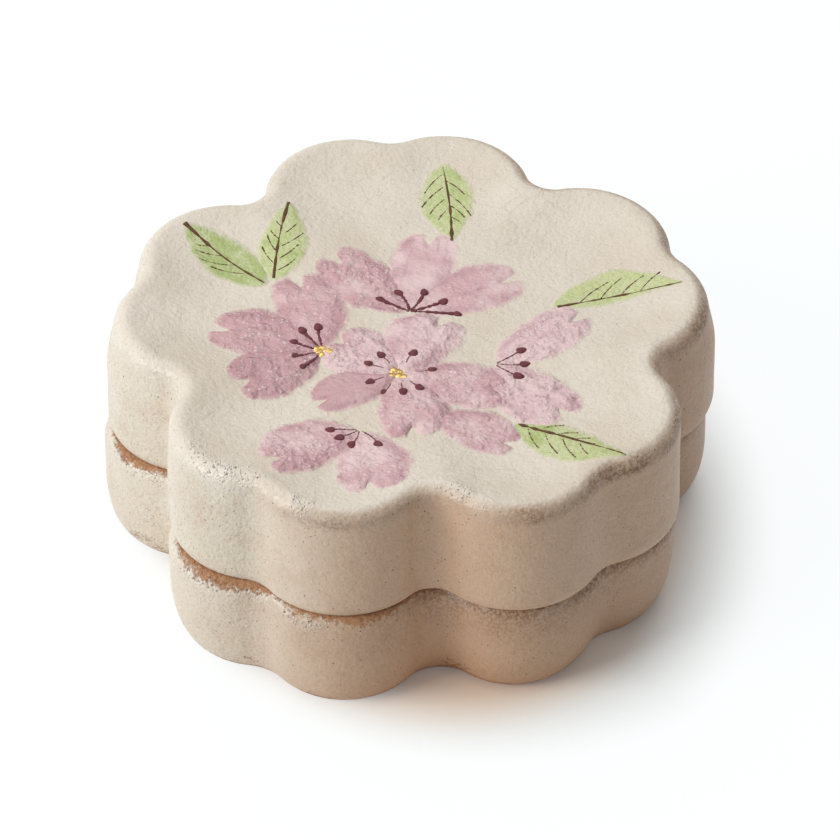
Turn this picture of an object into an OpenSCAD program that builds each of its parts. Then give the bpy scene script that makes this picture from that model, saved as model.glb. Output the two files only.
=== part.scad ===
// Kogo: a lidded incense box of fired clay, shaped as a five-petalled cherry blossom.
// Millimetres, +Z up. The origin is the centre of the flower on the plane that the foot stands on,
// and one petal points along +Y. The lid drops over a flange that stands up from the body's seat.

/* [Flower outline] */
// Distance from the centre to the outermost point of a petal
outer_r = 36; // [33:0.5:40]
// Radius of the two round lobes that end each petal
lobe_r = 10.8; // [9.5:0.1:12]
// Half the angle between the two lobes of one petal
lobe_half_angle = 12.9; // [11:0.1:15]
// Radius of the hollow that notches the tip of a petal
notch_r = 4.8; // [3:0.1:8]
// Radius of the hollow between two neighbouring petals
dip_r = 3.2; // [2:0.1:6]

/* [Body] */
// Height of the seat that the lid rests on
seat_z = 14; // [12.6:0.1:16]
// How far the body's widest outline lies inside the lid's
body_inset = 0.3; // [0:0.05:0.8]
// How far the foot's edge lies inside the body's widest outline
foot_inset = 2.2; // [1:0.1:3.5]
// Height of the curve that runs from the foot out to the wall
foot_curve_h = 6.6; // [4:0.1:8]
// How far the shoulder draws in at the seat
shoulder_inset = 1.8; // [0.3:0.1:2.4]
// Height of the shoulder's curve below the seat
shoulder_h = 2.4; // [1.5:0.1:4.5]
// Width of the flat ring that the box stands on
foot_ring_w = 3.4; // [2:0.1:5]
// Depth of the hollow inside the foot ring
foot_hollow = 1; // [0.5:0.1:2]
// Thickness of clay between the foot's hollow and the well
floor_t = 3.8; // [3:0.1:5]
// Radius of the round where the well's wall meets its floor
well_round = 3; // [1.5:0.1:3.5]

/* [Fit of lid and body] */
// Thickness of the lid's wall at its mouth, from the widest outline inwards
lid_wall = 4.2; // [3.5:0.1:5]
// Clearance all round between the lid's mouth and the flange
fit_gap = 0.4; // [0.2:0.05:0.8]
// Thickness of the flange that locates the lid
flange_t = 2; // [1.6:0.1:2.4]
// Height of the flange above the seat
flange_h = 3.4; // [2:0.1:5]
// Radius of the rounds along the top of the flange
flange_round = 0.8; // [0.3:0.05:1]

/* [Lid] */
// Height of the lid from its seat to the crest of the rim
lid_h = 15.6; // [15:0.1:22]
// How far the lid's lower edge draws in at the seat
lid_tuck = 0.5; // [0.3:0.1:2.5]
// Height of the curve along the lid's lower edge
lid_tuck_h = 1.5; // [1:0.1:5]
// How far the wall leans in below the rim
wall_lean = 0.2; // [0:0.05:1]
// Radius of the round from the wall over to the crest of the rim
rim_round = 1.7; // [1:0.1:4.5]
// Depth of the dished top below the crest of the rim
dish_depth = 1.3; // [0.5:0.1:2.5]
// Width of the slope from the crest down to the dish
dish_slope = 12; // [8:0.5:18]
// Height of the soft ridges that part the petals
ridge_h = 0.4; // [0:0.05:1]
// Thickness of the lid's top at its centre
top_t = 4.4; // [3:0.1:5.5]
// Radius of the round where the lid's inner wall meets its ceiling
ceiling_round = 3.5; // [1.5:0.1:4]

/* [Fineness] */
// Facets along one lobe of a petal
lobe_steps = 7; // [5:1:9]
// Facets along the hollow at a petal's tip
notch_steps = 3; // [2:1:4]
// Facets along the hollow between petals
dip_steps = 4; // [3:1:6]
// Facets along a round of the profile
round_steps = 5; // [3:1:7]
// Rings across the dished top
dish_rings = 9; // [6:1:12]

/* [Hidden] */

petals = 5;
petal_angle = 360 / petals;
first_petal_angle = 90;
glaze_colour = "#DDD0BE";
// The least radius that a lobe keeps when the outline is drawn in
least_lobe_r = 0.5;
// How far a cut runs past the face that it opens
cut_past = 1;
// Share of the way from the centre at which the petal ridges begin, and at which they reach full height
ridge_start = 0.2;
ridge_full = 0.65;
// Larger numbers make the petal ridges narrower
ridge_sharpness = 2;

// Levels and insets that the two pieces share
crest_z = seat_z + lid_h;
well_floor_z = foot_hollow + floor_t;
flange_top_z = seat_z + flange_h;
flange_inset = lid_wall + fit_gap;
well_inset = flange_inset + flange_t;
foot_edge_inset = body_inset + foot_inset;
foot_hollow_inset = foot_edge_inset + foot_ring_w;
crest_inset = wall_lean + rim_round;
ceiling_z = crest_z - dish_depth - top_t;
// Rounds are limited by the wall that they sit in
well_round_r = min(well_round, lobe_r - well_inset - least_lobe_r);
ceiling_round_r = min(ceiling_round, lobe_r - lid_wall - least_lobe_r);
flange_round_r = min(flange_round, 0.45 * flange_t);

// Centres of the lobes' arcs and of the hollows' arcs. Lobes are counted in pairs, one pair a petal:
// the hollow after an even lobe is a petal's notch, and the one after an odd lobe parts two petals.
lobe_count = 2 * petals;
lobe_centre_r = outer_r - lobe_r;
function is_notch(i) = i % 2 == 0;
function lobe_angle(i) =
    first_petal_angle + petal_angle * floor(i / 2) + (is_notch(i) ? -1 : 1) * lobe_half_angle;
function half_angle(i) = is_notch(i) ? lobe_half_angle : petal_angle / 2 - lobe_half_angle;
function hollow_r(i) = is_notch(i) ? notch_r : dip_r;
function hollow_steps(i) = is_notch(i) ? notch_steps : dip_steps;
function hollow_centre_r(i) =
    lobe_centre_r * cos(half_angle(i))
    + sqrt(pow(lobe_r + hollow_r(i), 2) - pow(lobe_centre_r * sin(half_angle(i)), 2));
function polar(r, a) = [r * cos(a), r * sin(a)];
function lobe_centre(i) = polar(lobe_centre_r, lobe_angle(i));
function hollow_centre(i) = polar(hollow_centre_r(i), lobe_angle(i) + half_angle(i));
function direction(from, to) = atan2(to[1] - from[1], to[0] - from[0]);
// Turns an angle into the one nearest to zero that points the same way
function nearest_turn(a) = a - 360 * round(a / 360);

// One lobe and the hollow after it, drawn in by an inset: all arcs keep their centres
function lobe_and_hollow(i, inset) =
    let (
        c = lobe_centre(i),
        next_c = lobe_centre((i + 1) % lobe_count),
        h = hollow_centre(i),
        last_h = hollow_centre((i + lobe_count - 1) % lobe_count),
        a0 = direction(c, last_h),
        sweep = nearest_turn(direction(c, h) - a0),
        b0 = direction(h, c),
        back = nearest_turn(direction(h, next_c) - b0),
        n = hollow_steps(i)
    )
    concat(
        [for (k = [0:lobe_steps]) c + polar(lobe_r - inset, a0 + sweep * k / lobe_steps)],
        [for (k = [1:1:n - 1]) h + polar(hollow_r(i) + inset, b0 + back * k / n)]
    );
function outline(inset) = [for (i = [0:lobe_count - 1]) each lobe_and_hollow(i, inset)];

// A ring of the outline at one inset and one height
function ring(inset, z) = [for (p = outline(inset)) [p[0], p[1], z]];
// A quarter round of a profile: stations [inset, z] from a0 to a1 about a centre
function quarter(inset, z, r_inset, r_z, a0, a1) =
    [for (k = [0:round_steps])
        let (a = a0 + (a1 - a0) * k / round_steps)
        [inset + r_inset * cos(a), z + r_z * sin(a)]];

// A closed solid through rings of equal length, from a first pole to a last pole
module loft(first_pole, rings, last_pole) {
    n = len(rings[0]);
    last = len(rings) - 1;
    points = concat([first_pole], [for (r = rings) each r], [last_pole]);
    function at(r, k) = 1 + r * n + k % n;
    faces = concat(
        [for (k = [0:n - 1]) [0, at(0, k), at(0, k + 1)]],
        [for (r = [0:last - 1]) for (k = [0:n - 1]) each [
            [at(r, k), at(r + 1, k), at(r + 1, k + 1)],
            [at(r, k), at(r + 1, k + 1), at(r, k + 1)]
        ]],
        [for (k = [0:n - 1]) [len(points) - 1, at(last, k + 1), at(last, k)]]
    );
    polyhedron(points, faces, convexity = 10);
}

// The body's profile from the foot's edge over the shoulder, seat and flange down into the well
function body_profile() = concat(
    quarter(foot_edge_inset, foot_curve_h, -foot_inset, foot_curve_h, -90, 0),
    quarter(body_inset + shoulder_inset, seat_z - shoulder_h, -shoulder_inset, shoulder_h, 0, 90),
    [[flange_inset, seat_z]],
    quarter(flange_inset + flange_round_r, flange_top_z - flange_round_r,
            -flange_round_r, flange_round_r, 0, 90),
    quarter(well_inset - flange_round_r, flange_top_z - flange_round_r,
            flange_round_r, flange_round_r, 90, 0),
    quarter(well_inset + well_round_r, well_floor_z + well_round_r,
            -well_round_r, well_round_r, 0, -90)
);

// The lid's profile from the ceiling down to its mouth, across its seat and up to the crest of the rim
function lid_profile() = concat(
    quarter(lid_wall + ceiling_round_r, ceiling_z - ceiling_round_r,
            -ceiling_round_r, ceiling_round_r, 90, 0),
    [[lid_wall, seat_z]],
    quarter(lid_tuck, seat_z + lid_tuck_h, -lid_tuck, lid_tuck_h, -90, 0),
    quarter(crest_inset, crest_z - rim_round, -rim_round, rim_round, 0, 90)
);

// The dished top: drop below the crest, ridges between the petals, and the rings that carry them
function ease(x) = let (t = max(0, min(1, x))) t * t * (3 - 2 * t);
function dish_drop(from_crest) = dish_depth * sin(90 * min(1, from_crest / dish_slope));
function ridge(a) = pow(0.5 - 0.5 * cos(petals * (a - first_petal_angle)), ridge_sharpness);
function top_z(p, share) =
    let (drop = dish_drop((1 - share) * (outer_r - crest_inset)))
    crest_z - drop
    + ridge_h * ridge(atan2(p[1], p[0])) * ease((share - ridge_start) / (ridge_full - ridge_start))
      * drop / dish_depth;
function top_ring(share) =
    [for (p = outline(crest_inset)) [p[0] * share, p[1] * share, top_z(p, share)]];

// Body: a shallow flower-shaped dish with a seat, a flange for the lid and a hollowed foot
module body() {
    color(glaze_colour)
    difference() {
        loft([0, 0, 0], [for (s = body_profile()) ring(s[0], s[1])], [0, 0, well_floor_z]);
        translate([0, 0, -cut_past])
            linear_extrude(foot_hollow + cut_past) polygon(outline(foot_hollow_inset));
    }
}

// Lid: a deep flower-shaped cap whose dished top is parted into petals by soft ridges
module lid() {
    color(glaze_colour)
    loft(
        [0, 0, ceiling_z],
        concat(
            [for (s = lid_profile()) ring(s[0], s[1])],
            [for (k = [1:dish_rings - 1]) top_ring(1 - k / dish_rings)]
        ),
        [0, 0, crest_z - dish_depth]
    );
}

body();
lid();
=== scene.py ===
# Cherry blossom kogo: the glazed clay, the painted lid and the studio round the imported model.
import math
from collections import namedtuple

import bmesh
import bpy
import numpy as np
from bpy.props import FloatProperty, FloatVectorProperty, IntProperty, PointerProperty
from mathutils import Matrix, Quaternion, Vector, noise


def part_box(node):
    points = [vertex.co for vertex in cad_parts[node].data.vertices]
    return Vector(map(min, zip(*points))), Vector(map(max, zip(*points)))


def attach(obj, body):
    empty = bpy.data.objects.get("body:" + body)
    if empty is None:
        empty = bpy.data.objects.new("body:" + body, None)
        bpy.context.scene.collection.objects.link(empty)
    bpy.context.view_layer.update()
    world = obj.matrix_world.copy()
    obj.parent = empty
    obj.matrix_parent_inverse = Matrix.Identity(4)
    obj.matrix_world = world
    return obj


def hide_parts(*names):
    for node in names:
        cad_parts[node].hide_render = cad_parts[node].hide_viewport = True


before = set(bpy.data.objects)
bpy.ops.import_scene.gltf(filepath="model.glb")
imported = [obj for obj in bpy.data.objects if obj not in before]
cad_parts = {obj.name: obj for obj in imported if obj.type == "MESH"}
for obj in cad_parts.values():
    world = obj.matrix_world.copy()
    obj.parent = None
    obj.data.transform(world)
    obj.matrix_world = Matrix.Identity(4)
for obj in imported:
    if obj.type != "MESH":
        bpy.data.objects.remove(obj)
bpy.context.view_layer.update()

bl_info = {
    "name": "Cherry Blossom Kogo",
    "version": (1, 0, 0),
    "blender": (4, 5, 0),
    "location": "3D View > Sidebar > Kogo",
    "description": "Builds a glazed clay incense box in the shape of a cherry blossom, with a painted lid",
    "category": "Add Mesh",
}

MM = 0.001
LID_LOW, LID_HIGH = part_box("lid")
BODY_LOW, BODY_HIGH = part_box("body")
SEAT_Z = LID_LOW.z
CREST_Z = LID_HIGH.z
FLANGE_TOP_Z = BODY_HIGH.z

PETALS = 5
PETAL_TURN = 2 * math.pi / PETALS
FIRST_PETAL = math.pi / 2
LOBE_R = 10.8 * MM
LOBE_HALF_DEGREES = 12.9
# The lobe that reaches farthest along +X is the one next to the petal at 18 degrees
WIDEST_LOBE_ANGLE = FIRST_PETAL - PETAL_TURN - math.radians(LOBE_HALF_DEGREES)
OUTER_R = (LID_HIGH.x - LOBE_R) / math.cos(WIDEST_LOBE_ANGLE) + LOBE_R


# Properties

def linear(hex_colour):
    """Scene colour of a display colour written as six hex digits."""
    parts = [int(hex_colour[i:i + 2], 16) / 255 for i in (0, 2, 4)]
    return tuple(p / 12.92 if p <= 0.04045 else ((p + 0.055) / 1.055) ** 2.4 for p in parts)


def length(label, about, size):
    return FloatProperty(name=label, description=about, default=size, min=0, unit="LENGTH", precision=5)


def colour(label, about, hex_colour):
    return FloatVectorProperty(
        name=label, description=about, default=linear(hex_colour), min=0, max=1, size=3, subtype="COLOR"
    )


def angle(label, about, degrees):
    return FloatProperty(name=label, description=about, default=math.radians(degrees), unit="ROTATION")


def reach(label, about, sizes):
    return FloatVectorProperty(
        name=label, description=about, size=PETALS, default=[s * MM for s in sizes], unit="LENGTH",
        precision=5,
    )


def factor(label, about, value):
    return FloatProperty(name=label, description=about, default=value, min=0, max=1, subtype="FACTOR")


def plain(label, about, value):
    return FloatProperty(name=label, description=about, default=value, min=0)


class KogoForm(bpy.types.PropertyGroup):
    """Sizes of the clay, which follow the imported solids."""

    outer_r: length("Outer radius", "Centre to the outermost point of a petal", OUTER_R)
    lobe_r: length("Lobe radius", "Radius of the two lobes that end each petal", LOBE_R)
    lobe_half_angle: angle("Lobe half angle", "Half the angle between a petal's lobes", LOBE_HALF_DEGREES)
    notch_r: length("Notch radius", "Hollow in the tip of a petal", 4.8 * MM)
    dip_r: length("Dip radius", "Hollow between two petals", 3.2 * MM)
    body_inset: length("Body inset", "How far the body lies inside the lid's outline", 0.3 * MM)
    foot_inset: length("Foot inset", "How far the foot draws in", 2.2 * MM)
    foot_curve_h: length("Foot curve", "Height of the curve from foot to wall", 6.6 * MM)
    shoulder_inset: length("Shoulder inset", "How far the shoulder draws in at the seat", 1.8 * MM)
    shoulder_h: length("Shoulder height", "Height of the shoulder's curve", 2.4 * MM)
    foot_ring_w: length("Foot ring", "Width of the ring that the box stands on", 3.4 * MM)
    foot_hollow: length("Foot hollow", "Depth of the hollow inside the foot ring", 1 * MM)
    well_floor_z: length("Well floor", "Height of the well's floor", 4.8 * MM)
    well_round: length("Well round", "Round between the well's wall and floor", 3 * MM)
    lid_wall: length("Lid wall", "Thickness of the lid's wall at its mouth", 4.2 * MM)
    fit_gap: length("Fit gap", "Clearance between mouth and flange", 0.4 * MM)
    flange_t: length("Flange", "Thickness of the flange", 2 * MM)
    flange_round: length("Flange round", "Rounds along the top of the flange", 0.8 * MM)
    lid_tuck: length("Lid tuck", "How far the lid's lower edge draws in", 0.5 * MM)
    lid_tuck_h: length("Lid tuck height", "Height of the curve along the lid's lower edge", 1.5 * MM)
    wall_lean: length("Wall lean", "How far the lid's wall leans in below the rim", 0.2 * MM)
    rim_round: length("Rim round", "Round from the wall to the crest of the rim", 1.7 * MM)
    dish_depth: length("Dish depth", "Depth of the lid's top below the crest", 1.3 * MM)
    dish_slope: length("Dish slope", "Width of the slope from crest to dish", 12 * MM)
    ridge_h: length("Ridge height", "Soft ridges that part the petals", 0.4 * MM)
    ceiling_z: length("Ceiling", "Height of the lid's ceiling", CREST_Z - 5.7 * MM)
    ceiling_round: length("Ceiling round", "Round below the lid's ceiling", 3.5 * MM)
    corner: length("Corner", "Small rounds on the crisp edges", 0.3 * MM)
    body_shift: FloatVectorProperty(
        name="Body shift", description="How far the body's wall sits off the flange's centre", size=2,
        default=(-0.5 * MM, -0.1 * MM), unit="LENGTH", precision=5,
    )
    body_turn: angle("Body turn", "How far the body's wall is turned against the lid", 2.3)
    rim_draw: length("Rim draw", "How far the lid's wall draws in towards its rim, least at the front",
                     1 * MM)
    body_taper: length("Body taper", "How far the body's right side leans in towards the foot", 0.9 * MM)
    lid_reach: reach("Lid reach", "How much farther out each of the lid's petals ends",
                     (0, 0, -0.5, 0.1, 0.15))
    body_reach: reach("Body reach", "How much farther out each of the body's petals ends",
                      (0, 0.35, 0.5, 0.3, 0.55))
    roughness: length("Roughness", "Height of the lumps where the glaze caught sand", 0.13 * MM)
    hand_swell: length("Hand swell", "Slow unevenness of the hand-formed clay", 0.16 * MM)
    hand_dimple: length("Hand dimple", "Short unevenness of the hand-formed clay", 0.05 * MM)


class KogoGlaze(bpy.types.PropertyGroup):
    """Colours of the glaze and the bare clay."""

    cream: colour("Cream", "Glaze where it lies thick", "E8DECE")
    warm: colour("Warm cream", "Glaze where it is thinner", "E1D4C1")
    # Tan stands for painted warm shade on the walls away from the key lamp.
    tan: colour("Tan", "Glaze on the side that faced the flame", "D2AF92")
    iron: colour("Iron specks", "Iron specks that bleed through the glaze", "543521")
    # Rust also stands for painted shade along the rim on the side away from the key lamp.
    rust: colour("Rim", "Glaze burnt thin along the rim", "7E5228")
    clay: colour("Bare clay", "Unglazed clay at seat and foot", "BE8E6A")
    crackle_w: length("Crackle", "Distance between the fine cracks in the glaze", 5 * MM)
    grit_r: length("Grit", "Largest radius of the sand grains along the edges", 0.14 * MM)
    grit_density: plain("Grit density", "Grains per square metre", 5e6)


class KogoPainting(bpy.types.PropertyGroup):
    """Sizes and colours of the enamel painting."""

    pink: colour("Pink", "Petal enamel", "D2A2A7")
    pale: colour("Pale pink", "Petal enamel where it lies thin", "EBCBCC")
    # The pale grains also stand for painted glints on the petal enamel.
    glint: colour("Grains", "Pale grains in the petal enamel", "F2DEDC")
    plum: colour("Plum", "Brush streaks in the petals", "AC7880")
    green: colour("Green", "Leaf enamel", "C9D390")
    moss: colour("Moss", "Darker green in the leaves", "A8B969")
    brown: colour("Brown", "Stamens", "66363A")
    vein: colour("Vein brown", "Leaf veins", "5B3F28")
    gold: colour("Gold", "Gold leaf at the blossoms' centres", "E6C27C")
    petal_relief: length("Petal relief", "How far the petal enamel stands up", 0.16 * MM)
    leaf_relief: length("Leaf relief", "How far the leaf enamel stands up", 0.05 * MM)
    warp: length("Warp", "How far a petal's outline wanders", 1.2 * MM)
    layer_step: length("Layer step", "Height from one petal to the one it overlaps", 0.05 * MM)
    line_w: length("Line width", "Half the width of a stamen", 0.17 * MM)
    anther_r: length("Anther", "Half the length of an anther", 0.6 * MM)
    fleck_r: length("Gold fleck", "Radius of a fleck of gold leaf", 0.6 * MM)
    seed: IntProperty(name="Seed", description="Seed of the painting's small irregularities", default=5)


class KogoStage(bpy.types.PropertyGroup):
    """Camera and light."""

    azimuth: angle("Azimuth", "Camera's turn round the box", -4.52)
    elevation: angle("Elevation", "Camera's height above the horizon", 42.32)
    roll: angle("Roll", "Camera's turn about its own line of sight", 0.25)
    distance: length("Distance", "Camera to the point that it looks at", 621.2 * MM)
    lens: plain("Lens", "Focal length on a 36 mm wide film, in mm", 224.45)
    look_at: FloatVectorProperty(
        name="Look at", description="Point in the middle of the picture", subtype="XYZ", unit="LENGTH",
        default=(0.93 * MM, -0.07 * MM, 13.41 * MM), precision=5,
    )
    key_power: plain("Key light", "Power of the lamp on the left", 4.75)
    overhead_power: plain("Overhead light", "Power of the soft box overhead", 6.0)
    fill: plain("Fill", "Strength of the light from all round", 0.145)
    floor: colour("Floor", "Colour of the floor", "FBFFFE")
    glow: colour("Glow", "Colour of the floor's own glow", "FCFFFF")
    floor_glow: factor("Floor glow", "Share of its own glow seen on the floor near the box", 0.1)
    far_glow: factor("Far glow", "Share of its own glow seen on the floor far from the box", 0.85)


# Nodes

class Weaver:
    """Adds nodes to one tree and joins them by their sockets."""

    def __init__(self, tree):
        self.tree = tree

    def feed(self, socket, value):
        if isinstance(value, bpy.types.NodeSocket):
            self.tree.links.new(value, socket)
        else:
            socket.default_value = value

    def node(self, kind, inputs=None, **settings):
        made = self.tree.nodes.new(kind)
        for name, value in settings.items():
            setattr(made, name, value)
        for name, value in (inputs or {}).items():
            self.feed(made.inputs[name], value)
        return made

    def first(self, kind, inputs=None, **settings):
        """A new node's first output."""
        return self.node(kind, inputs, **settings).outputs[0]

    def math(self, operation, *values):
        made = self.node("ShaderNodeMath", operation=operation)
        for socket, value in zip(made.inputs, values):
            self.feed(socket, value)
        return made.outputs[0]

    def chain(self, operation, values):
        """One operation on two or more values, from the first to the last."""
        total = values[0]
        for value in values[1:]:
            total = self.math(operation, total, value)
        return total

    def add(self, *values):
        return self.chain("ADD", values)

    def sub(self, *values):
        return self.chain("SUBTRACT", values)

    def mul(self, *values):
        return self.chain("MULTIPLY", values)

    def most(self, *values):
        return self.chain("MAXIMUM", values)

    def mul_add(self, value, share, added):
        return self.math("MULTIPLY_ADD", value, share, added)

    def vector(self, operation, *values, scale=None):
        made = self.node("ShaderNodeVectorMath", operation=operation)
        for socket, value in zip(made.inputs, values):
            self.feed(socket, value)
        if scale is not None:
            self.feed(made.inputs["Scale"], scale)
        return made.outputs["Value" if operation in {"LENGTH", "DOT_PRODUCT"} else "Vector"]

    def split(self, vector):
        return self.node("ShaderNodeSeparateXYZ", {"Vector": vector}).outputs

    def join(self, x, y, z):
        return self.first("ShaderNodeCombineXYZ", {"X": x, "Y": y, "Z": z})

    def ramp(self, value, low, high, to_low=0.0, to_high=1.0):
        """Eases from one level to another while the value goes from low to high."""
        made = self.node("ShaderNodeMapRange", interpolation_type="SMOOTHSTEP")
        for socket, given in zip(made.inputs, (value, low, high, to_low, to_high)):
            self.feed(socket, given)
        return made.outputs[0]

    def blend(self, share, first, second):
        """Mixes two colours."""
        made = self.node("ShaderNodeMix", data_type="RGBA")
        for index, value in ((0, share), (6, first), (7, second)):
            if index and not isinstance(value, bpy.types.NodeSocket):
                value = (*value[:3], 1)
            self.feed(made.inputs[index], value)
        return made.outputs[2]

    def noise(self, coords, scale, detail=2.0, roughness=0.5):
        return self.first("ShaderNodeTexNoise", {"Vector": coords, "Scale": scale, "Detail": detail,
                                                 "Roughness": roughness})

    def wander(self, coords, scale):
        """A vector that drifts smoothly from place to place."""
        drift = self.node("ShaderNodeTexNoise", {"Vector": coords, "Scale": scale, "Detail": 2.0})
        return drift.outputs["Color"]

    def cells(self, coords, scale, feature="F1"):
        return self.node("ShaderNodeTexVoronoi", {"Vector": coords, "Scale": scale}, feature=feature).outputs

    def attribute(self, name):
        return self.node("ShaderNodeAttribute", attribute_name=name).outputs["Fac"]


def millimetres(w):
    """Object coordinates in millimetres, so that pattern scales read as marks per millimetre."""
    coords = w.node("ShaderNodeTexCoord").outputs["Object"]
    return w.vector("SCALE", coords, scale=1 / MM)


def new_group(name, kind, inputs, outputs):
    """A node group with named sockets, and the sockets to build between."""
    tree = bpy.data.node_groups.new(name, kind)
    for direction, sockets in (("INPUT", inputs), ("OUTPUT", outputs)):
        for socket_name, socket_kind in sockets:
            tree.interface.new_socket(socket_name, in_out=direction, socket_type=socket_kind)
    w = Weaver(tree)
    return w, w.node("NodeGroupInput").outputs, w.node("NodeGroupOutput").inputs


# Finishes

# Heights of the finishes' fine relief
GLAZE_BUMP = 0.1 * MM
LINE_BUMP = 0.06 * MM
GOLD_BUMP = 0.12 * MM
GRIT_BUMP = 0.02 * MM
GRIT_WHITE = linear("F3ECE2")
# Sides of the box in degrees: the side away from the key lamp, whose walls get painted warm shade, the side
# where the body gets painted shade towards its foot, where the rim is peppered, and where the lid's rim stays
# pale in the front hollow
SHADED_SIDE = -20
LOW_SHADE_SIDE = -40
PEPPER_SIDE = -50
PALE_SIDE = 273
# Heights in millimetres between which the body's painted shade sets in, and between which the lid begins
LOW_SHADE_BAND = (15.0, 11.0)
LID_BAND = (16.0, 20.0)
# Kinds of specks: cells to a millimetre, share of the cells that hold one, and its size in cells
FINE_SPECKS = (2.7, 0.18, 0.3)
MIDDLING_SPECKS = (1.3, 0.12, 0.19)
PITS = (0.2, 0.1, 0.045)
PEPPER = (1.9, 0.14, 0.26)
SUGAR_AND_GLINTS = (3.4, 0.5, 0.44)
LEAF_FLECKS = (1.5, 0.12, 0.2)
# Moves the pits off the other specks
PIT_SHIFT = (7.3, 1.9, 4.1)
# How much paler a brush line is where it is thin, and how much darker gold leaf is painted in its folds,
# as shade
THIN_LINE = 1.6
THIN_LIFT = 0.005
GOLD_FOLD_SHADE = 0.55


def specks(w, mm, per_mm, share, size):
    """Scattered round specks: only that share of the cells holds one, of that size in cells."""
    cells = w.cells(mm, per_mm)
    chosen = w.ramp(w.split(cells["Color"])[0], 1 - share, 1 - share * 0.8)
    spot = w.ramp(cells["Distance"], size, size * 0.45)
    return w.mul(chosen, spot)


def facing(w, mm, degrees):
    """How far a point lies towards one side of the box, from -1 to 1."""
    x, y, _ = w.split(mm)
    flat = w.vector("NORMALIZE", w.join(x, y, 0.0))
    side = (math.cos(math.radians(degrees)), math.sin(math.radians(degrees)), 0.0)
    return w.vector("DOT_PRODUCT", flat, side)


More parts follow.
